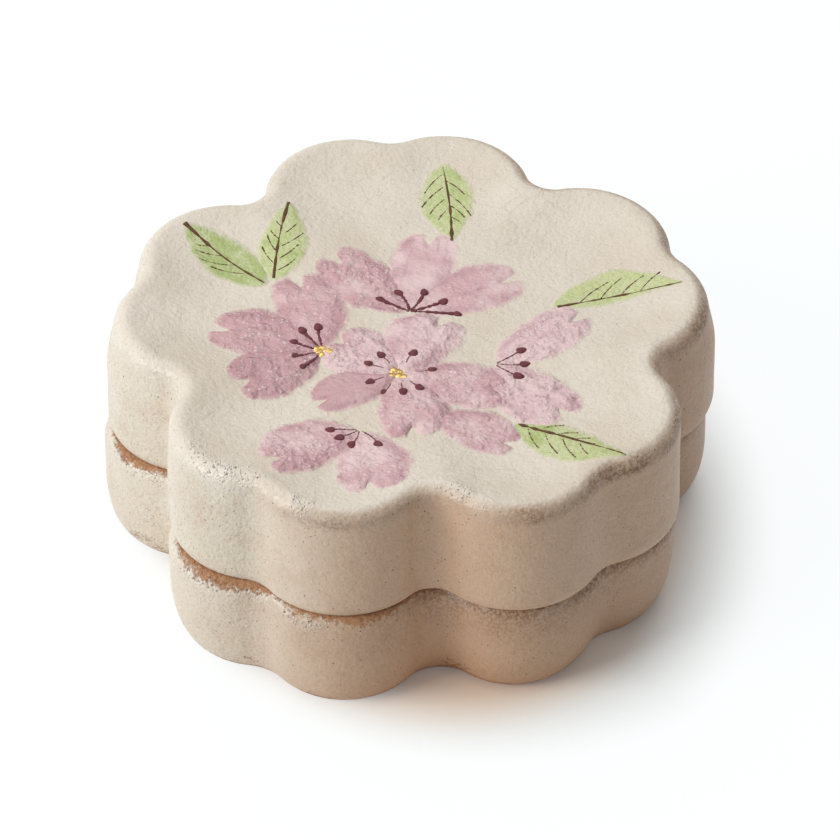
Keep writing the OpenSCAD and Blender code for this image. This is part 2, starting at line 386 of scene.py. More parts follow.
def glaze_group(glaze):
    """Cream glaze with iron specks, crackle, painted shade and highlight, a burnt rim and bare clay: colour,
    roughness and height.
    """
    name = "Cream crackle glaze"
    if name in bpy.data.node_groups:
        return bpy.data.node_groups[name]
    floats = [(level.title(), "NodeSocketFloat") for level in PAINTED_LEVELS]
    outputs = [("Color", "NodeSocketColor"), ("Roughness", "NodeSocketFloat"), ("Height", "NodeSocketFloat")]
    w, given, result = new_group(name, "ShaderNodeTree", floats, outputs)
    mm = millimetres(w)
    wall, rim, clay = given["Wall"], given["Rim"], given["Clay"]
    above_foot = w.split(mm)[2]
    to_shaded_side = facing(w, mm, SHADED_SIDE)

    # Clouds of thicker and thinner glaze, painted warm shade on the walls away from the key lamp, painted
    # shade towards the body's foot on that side, and stains
    cloud = w.ramp(w.noise(mm, 0.075, 3.0), 0.38, 0.68)
    tone = w.blend(cloud, glaze.cream, glaze.warm)
    # Painted warm shade: tan on the walls that face away from the key lamp.
    painted_warm_shade = w.mul(w.ramp(to_shaded_side, -0.37, 0.2), wall, 0.95)
    tone = w.blend(painted_warm_shade, tone, glaze.tan)
    # Painted shade: the body's walls darken towards the foot on the side away from the key lamp.
    darker = w.ramp(facing(w, mm, LOW_SHADE_SIDE), -0.75, 0.3)
    darker = w.mul(darker, w.ramp(above_foot, *LOW_SHADE_BAND, 0.0, 0.27), wall)
    tone = w.blend(darker, tone, glaze.clay)
    stain = w.mul(w.ramp(w.noise(mm, 0.28, 3.0, 0.65), 0.48, 0.7, 0.0, 0.17), wall)
    tone = w.blend(stain, tone, glaze.clay)

    # Fine grain of the clay under the glaze, coarser on the walls on the key lamp's side
    sand = w.noise(mm, 3.6, 1.0, 0.5)
    peel = w.noise(mm, 1.7, 1.0, 0.5)
    away = w.mul(wall, w.ramp(to_shaded_side, 0.1, -0.6))
    sandy = w.ramp(away, 0.0, 1.0, 0.07, 0.16)
    tone = w.blend(w.mul(w.ramp(sand, 0.5, 0.7), sandy), tone, glaze.rust)
    tone = w.blend(w.mul(w.ramp(sand, 0.5, 0.3, 0.0, 1.6), sandy), tone, glaze.cream)

    # Iron specks, more of them on the walls, and a few pits
    crowd = w.ramp(w.noise(mm, 0.11, 2.0), 0.4, 0.6, 0.4, 1.0)
    fine = w.mul(specks(w, mm, *FINE_SPECKS), w.ramp(wall, 0.0, 1.0, 0.14, 0.7), crowd)
    middling = w.mul(specks(w, mm, *MIDDLING_SPECKS), w.ramp(wall, 0.0, 1.0, 0.3, 0.8))
    pits = specks(w, w.vector("ADD", mm, PIT_SHIFT), *PITS)
    tone = w.blend(w.most(fine, middling, w.mul(pits, 0.9)), tone, glaze.iron)

    # Faint crackle in patches of the top
    bent = w.vector("ADD", mm, w.vector("SCALE", w.wander(mm, 0.25), scale=1.6))
    seam = w.cells(bent, MM / glaze.crackle_w, "DISTANCE_TO_EDGE")["Distance"]
    patch = w.ramp(w.noise(mm, 0.06), 0.42, 0.6)
    crack = w.mul(w.ramp(seam, 0.012, 0.003), patch, w.ramp(wall, 0.6, 0.0))
    tone = w.blend(w.mul(crack, 0.08), tone, glaze.iron)

    # The rim: burnt brown towards the right, where the brown is also painted shade away from the key lamp,
    # grainy and peppered there, with a painted highlight on the side of the lamp, but pale in the front
    # hollow of the lid
    mottle = w.ramp(w.noise(mm, 2.6, 3.0, 0.7), 0.42, 0.56, 0.3, 1.0)
    drift = w.ramp(w.noise(mm, 0.16, 2.0), 0.38, 0.56, 0.4, 1.0)
    burnt_and_shaded_side = w.ramp(to_shaded_side, -0.5, 0.45)
    in_hollow = w.ramp(facing(w, mm, PALE_SIDE), 0.975, 0.995, 0.0, 0.85)
    spared = w.mul(in_hollow, w.ramp(above_foot, *LID_BAND))
    # Painted shade: the rim's brown is strongest on the side away from the key lamp.
    burnt = w.mul(rim, burnt_and_shaded_side, drift, mottle, w.sub(1.0, spared))
    tone = w.blend(w.mul(burnt, 0.9), tone, glaze.rust)
    pepper = w.mul(rim, w.ramp(facing(w, mm, PEPPER_SIDE), -0.3, 0.4), specks(w, mm, *PEPPER))
    tone = w.blend(w.mul(pepper, 0.95), tone, glaze.iron)
    # Painted highlight: the rim is whitened on the side of the key lamp.
    painted_rim_highlight = w.mul(rim, w.ramp(burnt_and_shaded_side, 0.15, 0.0, 0.0, 0.45), w.ramp(wall, 0.0, 1.0, 1.0, 0.4))
    tone = w.blend(painted_rim_highlight, tone, GRIT_WHITE)

    # Sand that the glaze caught: white granules, a few of them brown
    grains = w.cells(mm, 2.6)
    granule = w.ramp(grains["Distance"], 0.5, 0.12)
    kind = w.split(grains["Color"])[1]
    crust = w.mul(given["Sand"], w.ramp(w.noise(mm, 0.5, 2.0), 0.36, 0.52))
    tone = w.blend(w.mul(crust, w.ramp(granule, 0.0, 1.0, 0.2, 0.9)), tone, GRIT_WHITE)
    crust_grain = w.mul(crust, granule)
    tone = w.blend(w.mul(crust_grain, w.ramp(kind, 0.82, 0.9)), tone, glaze.rust)

    # Bare clay, with a ragged edge of glaze
    drips = w.mul_add(w.noise(mm, 0.13, 1.0), 1.4, -0.7)
    ragged = w.add(drips, w.mul_add(w.noise(mm, 2.0, 3.0, 0.65), 1.0, -0.5))
    bare = w.ramp(w.add(clay, w.mul(ragged, w.ramp(clay, 0.0, 0.2))), 0.42, 0.66)
    earth = w.blend(w.ramp(w.noise(mm, 3.5, 2.0), 0.35, 0.7), glaze.clay, glaze.rust)
    earth = w.blend(w.ramp(w.noise(mm, 0.4, 2.0), 0.3, 0.75, 0.75, 0.1), glaze.clay, earth)
    tone = w.blend(bare, tone, earth)

    # Gloss, and relief of grain, crust, pits and cracks
    rough = w.add(w.ramp(bare, 0.0, 1.0, 0.46, 0.88), w.ramp(sand, 0.35, 0.7, -0.05, 0.08))
    rough = w.sub(rough, w.mul(rim, w.ramp(burnt_and_shaded_side, 0.0, 1.0, 0.16, 0.04)))
    grain = w.mul(w.mul_add(sand, 0.4, peel), w.ramp(away, 0.0, 1.0, 0.9, 1.9))
    grain = w.mul(grain, w.ramp(bare, 0.0, 1.0, 1.0, 1.8))
    grain = w.mul_add(crust_grain, 1.4, grain)
    relief = w.sub(grain, w.add(w.mul(pits, 1.5), w.mul(crack, 0.2)))
    relief = w.mul_add(w.noise(mm, 0.5, 2.0), 1.6, relief)
    for socket, value in (("Color", tone), ("Roughness", rough), ("Height", relief)):
        w.feed(result[socket], value)
    return w.tree


def new_material(name):
    made = bpy.data.materials.new(name)
    made.use_nodes = True
    made.node_tree.nodes.clear()
    return made, Weaver(made.node_tree)


def close_material(w, colour_socket, roughness, height, bump, **constants):
    """Principled shader with a bump that many metres high, and the constants on its own sockets."""
    normal = w.first("ShaderNodeBump", {"Height": height, "Distance": bump, "Strength": 1.0})
    shader = w.node("ShaderNodeBsdfPrincipled", {"Base Color": colour_socket, "Roughness": roughness,
                                                 "Normal": normal})
    for name, value in constants.items():
        shader.inputs[name.replace("_", " ")].default_value = value
    w.feed(w.node("ShaderNodeOutputMaterial").inputs["Surface"], shader.outputs[0])


def glaze_finish(glaze):
    """The clay's own finish, with its bare, rim and wall stretches read from the mesh."""
    made, w = new_material("glaze_on_clay")
    coat = w.node("ShaderNodeGroup", node_tree=glaze_group(glaze))
    for level in PAINTED_LEVELS:
        w.feed(coat.inputs[level.title()], w.attribute(level))
    out = coat.outputs
    close_material(w, out["Color"], out["Roughness"], out["Height"], GLAZE_BUMP)
    return made


def petal_finish(glaze, painting):
    """Pink enamel, grainy and streaked, that thins out to the glaze at a soft ragged edge."""
    made, w = new_material("petal_enamel")
    mm = millimetres(w)
    base = w.node("ShaderNodeGroup", node_tree=glaze_group(glaze)).outputs
    u, v, _ = w.split(w.first("ShaderNodeUVMap", uv_map="UVMap"))
    tone, grain, edge = (w.attribute(name) for name in ("tone", "grain", "edge"))
    ragged = w.mul_add(w.noise(mm, 2.6, 2.0, 0.6), 0.5, -0.25)
    cover = w.ramp(w.add(edge, ragged), 0.1, 0.9)

    # Thin and full washes, brush streaks, and enamel that pooled inside the edge
    wash = w.noise(mm, 0.24, 2.0)
    depth = w.mul_add(grain, 0.25, w.ramp(w.add(wash, tone), 0.3, 0.7, -0.1, 0.75))
    pink = w.blend(depth, painting.pale, painting.pink)
    pink = w.blend(w.ramp(tone, 0.15, 0.6, 0.0, 0.5), pink, painting.plum)
    across = w.mul_add(v, 7.0, w.mul(tone, 40.0))
    streak = w.noise(w.join(w.mul(u, 1.6), across, 0.0), 1.0, 3.0, 0.6)
    pink = w.blend(w.ramp(streak, 0.52, 0.75, 0.0, 0.5), pink, painting.plum)
    pooled = w.mul(w.ramp(edge, 0.5, 1.1), w.ramp(edge, 2.2, 1.2, 0.0, 0.4), w.ramp(wash, 0.4, 0.6))
    pink = w.blend(pooled, pink, painting.plum)

    # Pale crumbs and sugary grains in patches, partly the enamel's own pale grains and partly painted glints,
    # with dusky enamel between them
    crumbs = w.cells(mm, 1.8)
    crumb = w.ramp(crumbs["Distance"], 0.55, 0.1)
    patchy = w.mul(grain, w.ramp(w.noise(mm, 0.5, 2.0), 0.36, 0.56, 0.3, 1.0))
    lit = w.mul(crumb, w.ramp(w.split(crumbs["Color"])[0], 0.45, 0.8, 0.0, 0.8))
    pink = w.blend(w.mul(lit, patchy), pink, painting.glint)
    # Painted glints: the sugary grains whiten the pink like sparkles of light.
    sugar_and_glints = w.mul(specks(w, mm, *SUGAR_AND_GLINTS), patchy)
    pink = w.blend(w.mul(sugar_and_glints, 0.75), pink, painting.glint)
    dusk = w.mul(w.ramp(w.noise(mm, 2.4, 2.0, 0.6), 0.52, 0.66, 0.0, 0.45), patchy)
    pink = w.blend(dusk, pink, painting.plum)
    full = w.blend(w.mul(cover, w.ramp(wash, 0.3, 0.6, 0.88, 0.98)), base["Color"], pink)
    rough = w.ramp(cover, 0.0, 1.0, 0.5, 0.27)
    lumps = w.mul_add(crumb, 0.6, w.mul(w.noise(mm, 1.1, 1.0, 0.5), 2.0))
    lumps = w.mul_add(sugar_and_glints, 0.55, lumps)
    raised = w.mul(lumps, cover, patchy)
    close_material(w, full, rough, w.add(base["Height"], raised), GLAZE_BUMP)
    return made


def leaf_finish(glaze, painting):
    """Green enamel wash that pales at its edge."""
    made, w = new_material("leaf_enamel")
    mm = millimetres(w)
    base = w.node("ShaderNodeGroup", node_tree=glaze_group(glaze)).outputs
    tone = w.attribute("tone")
    ragged = w.mul_add(w.noise(mm, 2.2, 2.0), 0.5, -0.25)
    cover = w.ramp(w.add(w.attribute("edge"), ragged), 0.0, 0.9)
    wash = w.noise(mm, 0.5, 3.0, 0.6)
    green = w.blend(w.ramp(w.add(wash, tone), 0.45, 0.8), painting.green, painting.moss)
    green = w.blend(w.ramp(w.noise(mm, 2.2, 2.0, 0.6), 0.5, 0.66, 0.0, 0.5), green, painting.moss)
    green = w.blend(w.mul(specks(w, mm, *LEAF_FLECKS), 0.4), green, painting.vein)
    full = w.blend(w.mul(cover, w.ramp(wash, 0.3, 0.65, 0.72, 0.95)), base["Color"], green)
    rough = w.ramp(cover, 0.0, 1.0, 0.5, 0.42)
    raised = w.mul(w.noise(mm, 2.4, 2.0), w.mul(cover, 1.4))
    close_material(w, full, rough, w.add(base["Height"], raised), GLAZE_BUMP)
    return made


def line_finish(name, dark):
    """Brown enamel of the brush lines, darker where it pooled."""
    made, w = new_material(name)
    mm = millimetres(w)
    pooled = w.noise(mm, 1.6, 3.0, 0.65)
    thin = tuple(min(1.0, c * THIN_LINE + THIN_LIFT) for c in dark)
    tone = w.blend(w.ramp(pooled, 0.42, 0.66), dark, thin)
    rough = w.ramp(pooled, 0.3, 0.7, 0.42, 0.6)
    close_material(w, tone, rough, w.noise(mm, 3.0, 2.0), LINE_BUMP, Specular_IOR_Level=0.15)
    return made


def gold_finish(painting):
    """Crumpled gold leaf, with painted shade in its folds."""
    made, w = new_material("leaf_of_gold")
    mm = millimetres(w)
    crumple = w.noise(mm, 3.2, 3.0, 0.6)
    # Painted shade: the gold is darker in the folds of its crumple.
    deep = tuple(c * GOLD_FOLD_SHADE for c in painting.gold)
    tone = w.blend(w.ramp(crumple, 0.35, 0.6), deep, painting.gold)
    rough = w.ramp(crumple, 0.3, 0.7, 0.42, 0.24)
    close_material(w, tone, rough, crumple, GOLD_BUMP, Metallic=1.0)
    return made


def grit_finish(glaze):
    """Sand grains under a skin of glaze: most pale and glassy, some burnt."""
    made, w = new_material("glazed_grit")
    mm = millimetres(w)
    shade = w.attribute("shade")
    pale = w.blend(w.ramp(shade, 0.5, 0.8), GRIT_WHITE, glaze.warm)
    tone = w.blend(w.ramp(shade, 0.8, 0.86), pale, glaze.rust)
    grain = w.noise(mm, 3.0, 2.0)
    tone = w.blend(w.ramp(grain, 0.4, 0.8, 0.0, 0.25), tone, glaze.tan)
    close_material(w, tone, w.ramp(grain, 0.3, 0.7, 0.18, 0.34), grain, GRIT_BUMP)
    return made


# Geometry node trees

# A patch's edge distances, in millimetres: where its enamel begins to rise and where it is at full height
PIGMENT_EDGE = 0.25
PIGMENT_FULL = 2.2
PATCH_SKIM = 0.01 * MM
GEOMETRY = ("Geometry", "NodeSocketGeometry")
MATERIAL = ("Material", "NodeSocketMaterial")


def new_tree(name, objects=(), floats=(), integers=()):
    """A tree with sockets for the geometry that it works on, its named inputs and the finish."""
    inputs = [GEOMETRY]
    for kind, sockets in (("Object", objects), ("Float", floats), ("Int", integers)):
        inputs += [(socket, f"NodeSocket{kind}") for socket in sockets]
    return new_group(name, "GeometryNodeTree", [*inputs, MATERIAL], [GEOMETRY])


def close_tree(w, geometry, given, result):
    """Every tree ends in real, smooth geometry with its finish on."""
    real = w.first("GeometryNodeRealizeInstances", {"Geometry": geometry})
    smooth = w.first("GeometryNodeSetShadeSmooth", {"Geometry": real})
    done = w.first("GeometryNodeSetMaterial", {"Geometry": smooth, "Material": given["Material"]})
    w.feed(result["Geometry"], done)
    return w.tree


def tree_named(name, build):
    return bpy.data.node_groups.get(name) or build(name)


def named(w, name, data_type="FLOAT"):
    return w.node("GeometryNodeInputNamedAttribute", {"Name": name}, data_type=data_type).outputs["Attribute"]


def store(w, geometry, name, value):
    return w.first("GeometryNodeStoreNamedAttribute", {"Geometry": geometry, "Name": name, "Value": value},
                   data_type="FLOAT", domain="POINT")


def positions(w):
    return w.first("GeometryNodeInputPosition")


def object_geometry(w, socket):
    return w.node("GeometryNodeObjectInfo", {"Object": socket}).outputs["Geometry"]


def placed(w, geometry, **where):
    """The geometry with its points moved to a Position or by an Offset."""
    return w.first("GeometryNodeSetPosition", {"Geometry": geometry, **where})


def copied(w, points, shape, turn, size):
    """A copy of an object's shape at each point."""
    rotation = w.first("FunctionNodeEulerToRotation", {"Euler": turn})
    shape = object_geometry(w, shape)
    return w.first("GeometryNodeInstanceOnPoints", {"Points": points, "Instance": shape, "Rotation": rotation,
                                                    "Scale": size})


def sweep_tree(name):
    """Carries a profile, whose points are (inset, share of the way out, height), round the flower."""
    w, given, result = new_tree(name, ["Profile"], ["Weld distance"])
    outline = given["Geometry"]
    profile = object_geometry(w, given["Profile"])
    counts = []
    for part in (outline, profile):
        counts.append(w.node("GeometryNodeAttributeDomainSize", {"Geometry": part}).outputs["Point Count"])
    grid = w.first("GeometryNodeMeshGrid", {"Size X": 1.0, "Size Y": 1.0, "Vertices X": counts[0],
                                            "Vertices Y": counts[1]})
    x, y, _ = w.split(positions(w))
    for key, place, count in (("column", x, counts[0]), ("station", y, counts[1])):
        number = w.math("ROUND", w.mul(w.add(place, 0.5), w.sub(count, 1.0)))
        grid = store(w, grid, key, number)

    def sample(source, value, index):
        inputs = {"Geometry": source, "Value": value, "Index": named(w, index)}
        return w.first("GeometryNodeSampleIndex", inputs, data_type="FLOAT_VECTOR")

    place = sample(outline, positions(w), "column")
    outward = sample(outline, named(w, "outward", "FLOAT_VECTOR"), "column")
    inset, share, height = w.split(sample(profile, positions(w), "station"))
    drawn_in = w.vector("SUBTRACT", place, w.vector("SCALE", outward, scale=inset))
    moved = w.vector("ADD", w.vector("SCALE", drawn_in, scale=share), w.join(0.0, 0.0, height))
    shaped = placed(w, grid, Position=moved)
    welded = w.first("GeometryNodeMergeByDistance", {"Geometry": shaped, "Distance": given["Weld distance"]})
    return close_tree(w, welded, given, result)


def height_on(w, ground, place):
    """A point's x and y, and the height of the ground object straight below it."""
    x, y, _ = w.split(place)
    ray = w.node("GeometryNodeRaycast", {
        "Target Geometry": object_geometry(w, ground), "Source Position": w.join(x, y, 2 * CREST_Z),
        "Ray Direction": (0.0, 0.0, -1.0), "Ray Length": 1.0})
    return x, y, w.split(ray.outputs["Hit Position"])[2]


def patch_tree(name):
    """Copies a flat patch of enamel to each point, warps its outline and lays it on the ground in relief."""
    w, given, result = new_tree(name, ["Patch", "Ground"], ["Relief", "Layer step", "Warp", "Raggedness"])
    turn = named(w, "turn")
    size = w.join(named(w, "length"), named(w, "width"), 1.0)
    copies = copied(w, given["Geometry"], given["Patch"], w.join(0.0, 0.0, turn), size)
    real = w.first("GeometryNodeRealizeInstances", {"Geometry": copies})
    place = positions(w)
    mm = w.vector("SCALE", place, scale=1 / MM)

    # The edge wanders in and out, but the outermost points stay on the ground
    pushed = w.vector("SUBTRACT", w.wander(mm, 0.3), (0.5, 0.5, 0.5))
    pushed = w.vector("SCALE", pushed, scale=given["Warp"])
    aside = w.join(w.mul(w.math("SINE", turn), -1.0), w.math("COSINE", turn), 0.0)
    leaning = w.mul(named(w, "lean"), named(w, "belly"), named(w, "width"))
    pushed = w.vector("ADD", pushed, w.vector("SCALE", aside, scale=leaning))
    ragged = w.mul(w.sub(w.noise(mm, 1.0, 3.0, 0.65), 0.5), given["Raggedness"])
    edge = named(w, "edge")
    real = store(w, real, "edge", w.mul_add(ragged, w.ramp(edge, 0.0, 0.5), edge))
    real = placed(w, real, Offset=pushed)

    # The enamel's lumps and layers rise from its edge
    x, y, ground = height_on(w, given["Ground"], place)
    lumps = w.mul(w.mul_add(w.noise(mm, 1.1, 1.0, 0.5), 2.4, -0.7), named(w, "grain"))
    uneven = w.mul(given["Relief"], w.add(lumps, 0.5))
    stacked = w.mul(given["Layer step"], named(w, "layer"))
    raised = w.mul(w.ramp(edge, PIGMENT_EDGE, PIGMENT_FULL), w.add(uneven, stacked))
    skim = w.ramp(edge, 0.0, PIGMENT_EDGE / 2, -PATCH_SKIM, PATCH_SKIM)
    z = w.add(ground, w.add(raised, skim))
    return close_tree(w, placed(w, real, Position=w.join(x, y, z)), given, result)


def stroke_tree(name):
    """Turns lines into flat brush strokes that lie on the ground, as wide as each point says."""
    w, given, result = new_tree(name, ["Ground"], ["Flatness"], ["Sides"])
    on_ground = w.join(*height_on(w, given["Ground"], positions(w)))
    laid = placed(w, given["Geometry"], Position=on_ground)
    curve = w.first("GeometryNodeMeshToCurve", {"Mesh": laid})
    curve = w.first("GeometryNodeSetCurveNormal", {"Curve": curve}, mode="Z_UP")
    ring = w.first("GeometryNodeCurvePrimitiveCircle", {"Resolution": given["Sides"], "Radius": 1.0})
    flat = w.first("GeometryNodeTransform", {"Geometry": ring, "Scale": w.join(1.0, given["Flatness"], 1.0)})
    stroke = w.first("GeometryNodeCurveToMesh", {"Curve": curve, "Profile Curve": flat, "Fill Caps": True,
                                                 "Scale": named(w, "half_width")})
    return close_tree(w, stroke, given, result)


def copies_tree(name):
    """Sets a copy of a small shape on the ground at each point, turned, tilted and scaled as it says."""
    w, given, result = new_tree(name, ["Copy", "Ground"], ["Lift"])
    x, y, ground = height_on(w, given["Ground"], positions(w))
    seated = placed(w, given["Geometry"], Position=w.join(x, y, w.add(ground, given["Lift"])))
    width = named(w, "width")
    size = w.join(named(w, "length"), width, width)
    copies = copied(w, seated, given["Copy"], w.join(named(w, "tilt"), 0.0, named(w, "turn")), size)
    return close_tree(w, copies, given, result)


def grit_tree(name):
    """Scatters half-sunk grains over a surface, as thickly as its sand attribute says."""
    w, given, result = new_tree(name, floats=["Density", "Least radius", "Largest radius"], integers=["Seed"])
    density = w.mul(w.math("POWER", named(w, "sand"), 2.0), given["Density"])
    points = w.first("GeometryNodeDistributePointsOnFaces", {"Mesh": given["Geometry"], "Density": density,
                                                             "Seed": given["Seed"]})

    def chance(offset):
        made = w.node("FunctionNodeRandomValue", {"Seed": w.add(given["Seed"], offset)}, data_type="FLOAT")
        w.feed(made.inputs[2], 0.0)
        w.feed(made.inputs[3], 1.0)
        return made.outputs[1]

    points = store(w, points, "shade", chance(1.0))
    grain = w.first("GeometryNodeMeshIcoSphere", {"Radius": 1.0, "Subdivisions": 1})
    spread = w.math("POWER", chance(2.0), 3.0)
    span = w.sub(given["Largest radius"], given["Least radius"])
    radius = w.mul_add(spread, span, given["Least radius"])
    copies = w.first("GeometryNodeInstanceOnPoints", {"Points": points, "Instance": grain, "Scale": radius})
    return close_tree(w, copies, given, result)


# Meshes

def linked(name, data):
    """An object with that data, in the scene."""
    made = bpy.data.objects.new(name, data)
    bpy.context.scene.collection.objects.link(made)
    return made


def new_object(name, vertices, edges=(), faces=(), **point_values):
    """A mesh object in the scene, with one attribute for each keyword."""
    mesh = bpy.data.meshes.new(name)
    mesh.from_pydata([tuple(v) for v in vertices], list(edges), list(faces))
    for key, values in point_values.items():
        put_attribute(mesh, key, values)
    return linked(name, mesh)


def put_attribute(mesh, name, values):
    values = np.asarray(values, dtype=np.float32)
    kind, field = ("FLOAT_VECTOR", "vector") if values.ndim == 2 else ("FLOAT", "value")
    held = mesh.attributes.get(name) or mesh.attributes.new(name, kind, "POINT")
    held.data.foreach_set(field, values.ravel())


def discard(*objects):
    for unwanted in objects:
        mesh = unwanted.data
        bpy.data.objects.remove(unwanted)
        bpy.data.meshes.remove(mesh)


def grown(host, tree, **inputs):
    """Runs a tree on an object and keeps the result as the object's own plain mesh."""
    modifier = host.modifiers.new("Grow", "NODES")
    modifier.node_group = tree
    for item in tree.interface.items_tree:
        key = item.name.lower().replace(" ", "_")
        if item.in_out == "INPUT" and key in inputs:
            modifier[item.identifier] = inputs[key]
    depsgraph = bpy.context.evaluated_depsgraph_get()
    result = bpy.data.meshes.new_from_object(host.evaluated_get(depsgraph), preserve_all_data_layers=True,
                                             depsgraph=depsgraph)
    if not result.polygons:
        raise RuntimeError(f"{tree.name} made no faces for {host.name}")
    host.modifiers.clear()
    old = host.data
    host.data = result
    result.name = host.name
    bpy.data.meshes.remove(old)
    return host


def point_outwards(mesh):
    work = bmesh.new()
    work.from_mesh(mesh)
    bmesh.ops.recalc_face_normals(work, faces=work.faces)
    work.to_mesh(mesh)
    work.free()


def coordinates(mesh):
    flat = np.empty(len(mesh.vertices) * 3, dtype=np.float32)
    mesh.vertices.foreach_get("co", flat)
    return flat.reshape(-1, 3).astype(float)


def set_coordinates(mesh, places):
    mesh.vertices.foreach_set("co", places.astype(np.float32).ravel())
    mesh.update()


def values_of(mesh, name):
    found = np.empty(len(mesh.vertices), dtype=np.float32)
    mesh.attributes[name].data.foreach_get("value", found)
    return found


def smooth_noise(places, per_mm, offset=0.0):
    """Smooth noise between about -1 and 1 at each place."""
    return np.array([noise.noise(Vector(p) * per_mm / MM + Vector((offset, offset, offset))) for p in places])


def ease(x):
    t = np.clip(x, 0, 1)
    return t * t * (3 - 2 * t)


# Clay

# Steps round each arc of the outline
LOBE_STEPS = 46
NOTCH_STEPS = 12
DIP_STEPS = 18
# Points closer than this are joined
WELD = 0.001 * MM
# The clay's unevenness, in waves per millimetre, and the height over which it sets in above the foot
SWELL_PER_MM = 0.07
DIMPLE_PER_MM = 0.3
FOOT_FADE = 1.5 * MM
# What a place on a profile carries, from 0 to 1: how freely the hand shaped it, bare clay, rim (burnt brown,
# with painted shade and highlight), wall and sand
Finish = namedtuple("Finish", "free clay rim wall sand", defaults=(0,) * 5)
PAINTED_LEVELS = ("clay", "rim", "wall", "sand")
Stretch = namedtuple("Stretch", "stations start end")


def polar(radius, turn):
    return np.array((math.cos(turn), math.sin(turn))) * radius


def bearing(start, end):
    return math.atan2(end[1] - start[1], end[0] - start[0])


def nearest_turn(turn):
    return (turn + math.pi) % (2 * math.pi) - math.pi


def flower_outline(form):
    """Points round the flower and the directions that point out of it, as arcs that keep their centres."""
    lobe_centre_r = form.outer_r - form.lobe_r
    lobes, hollows = [], []
    for petal in range(PETALS):
        middle = FIRST_PETAL + petal * PETAL_TURN
        for side in (-1, 1):
            turn = middle + side * form.lobe_half_angle
            half = form.lobe_half_angle if side < 0 else PETAL_TURN / 2 - form.lobe_half_angle
            radius, steps = (form.notch_r, NOTCH_STEPS) if side < 0 else (form.dip_r, DIP_STEPS)
            reach = math.sqrt((form.lobe_r + radius) ** 2 - (lobe_centre_r * math.sin(half)) ** 2)
            lobes.append(polar(lobe_centre_r, turn))
            hollows.append((polar(lobe_centre_r * math.cos(half) + reach, turn + half), radius, steps))
    points, outward = [], []
    for i, centre in enumerate(lobes):
        hollow, hollow_r, hollow_steps = hollows[i]
        first = bearing(centre, hollows[i - 1][0])
        sweep = nearest_turn(bearing(centre, hollow) - first) % (2 * math.pi)
        for k in range(LOBE_STEPS):
            way = polar(1, first + sweep * k / LOBE_STEPS)
            points.append(centre + form.lobe_r * way)
            outward.append(way)
        first = bearing(hollow, centre)
        sweep = nearest_turn(bearing(hollow, lobes[(i + 1) % len(lobes)]) - first)
        for k in range(hollow_steps):
            way = polar(1, first + sweep * k / hollow_steps)
            points.append(hollow + hollow_r * way)
            outward.append(-way)
    points.append(points[0])
    outward.append(outward[0])
    flat = np.zeros((len(points), 1))
    return np.hstack((points, flat)), np.hstack((outward, flat))


def run(start, end, steps):
    """Straight stretch of stations (inset, share, height), its start left out."""
    return [tuple(a + (b - a) * k / steps for a, b in zip(start, end)) for k in range(1, steps + 1)]


def bend(inset, z, r_inset, r_z, first, last, steps):
    """Quarter round of stations about a centre, from one angle to another in degrees."""
    turns = (math.radians(first + (last - first) * k / steps) for k in range(steps + 1))
    return [(inset + r_inset * math.cos(t), 1.0, z + r_z * math.sin(t)) for t in turns]


def swept_shell(name, form, stretches, finish):
    """A closed shell round the flower. Returns its object and, per vertex, each stretch's finish levels."""
    points, outward = flower_outline(form)
    stations = [s for stretch in stretches for s in stretch.stations]
    levels = []
    for stretch in stretches:
        shares = np.linspace(0, 1, len(stretch.stations))[:, None]
        levels.append(np.array(stretch.start) * (1 - shares) + np.array(stretch.end) * shares)
    levels = np.vstack(levels)
    profile = new_object(f"{name}_profile", stations)
    shell = new_object(name, points, outward=outward)
    tree = tree_named("Sweep profile round outline", sweep_tree)
    grown(shell, tree, profile=profile, weld_distance=WELD, material=finish)
    discard(profile)
    point_outwards(shell.data)
    station = np.rint(values_of(shell.data, "station")).astype(int)
    for unwanted in ("column", "station"):
        shell.data.attributes.remove(shell.data.attributes[unwanted])
    per_vertex = dict(zip(Finish._fields, levels[station].T))
    for key in PAINTED_LEVELS:
        put_attribute(shell.data, key, per_vertex[key])
    return shell, per_vertex


def push_out(mesh, places, heights):
    """Moves each point along its normal."""
    normals = np.empty(len(places) * 3, dtype=np.float32)
    mesh.vertices.foreach_get("normal", normals)
    set_coordinates(mesh, places + normals.reshape(-1, 3) * heights[:, None])


def round_axis(places):
    """Turn of each place round the flower's axis, and its distance from it."""
    return np.arctan2(places[:, 1], places[:, 0]), np.hypot(places[:, 0], places[:, 1])


def shape_by_hand(shell, form, free, offset):
    """Gentle unevenness that a pressed shape has, none of it on the faces that fit together."""
    places = coordinates(shell.data)
    z = places[:, 2]
    free = free * ease((z - BODY_LOW.z) / FOOT_FADE) * ease(np.abs(z - SEAT_Z) / MM)
    swell = smooth_noise(places, SWELL_PER_MM, offset) * form.hand_swell
    dimple = smooth_noise(places, DIMPLE_PER_MM, offset) * form.hand_dimple
    push_out(shell.data, places, (swell + dimple) * free)


def seat_piece(piece, body, slot, *nodes):
    """Ties a finished piece to its body and hides the solids that it stands for. Its slot is not used."""
    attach(piece, body)
    if nodes:
        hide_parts(*nodes)


# Where the ridges between the petals begin and are full, as shares of the way out, and how sharp they are
RIDGE_START = 0.2
RIDGE_FULL = 0.65
RIDGE_SHARPNESS = 2
DISH_STEPS = 44
# Rings of the dish over which the finish of the crest fades
CREST_RINGS = 2
# Height of the wall below the rim that is burnt brown and painted with shade
BURNT_AND_SHADED_BAND = 1.2 * MM


def dish_drop(form, from_crest):
    return form.dish_depth * np.sin(math.pi / 2 * np.minimum(1, from_crest / form.dish_slope))


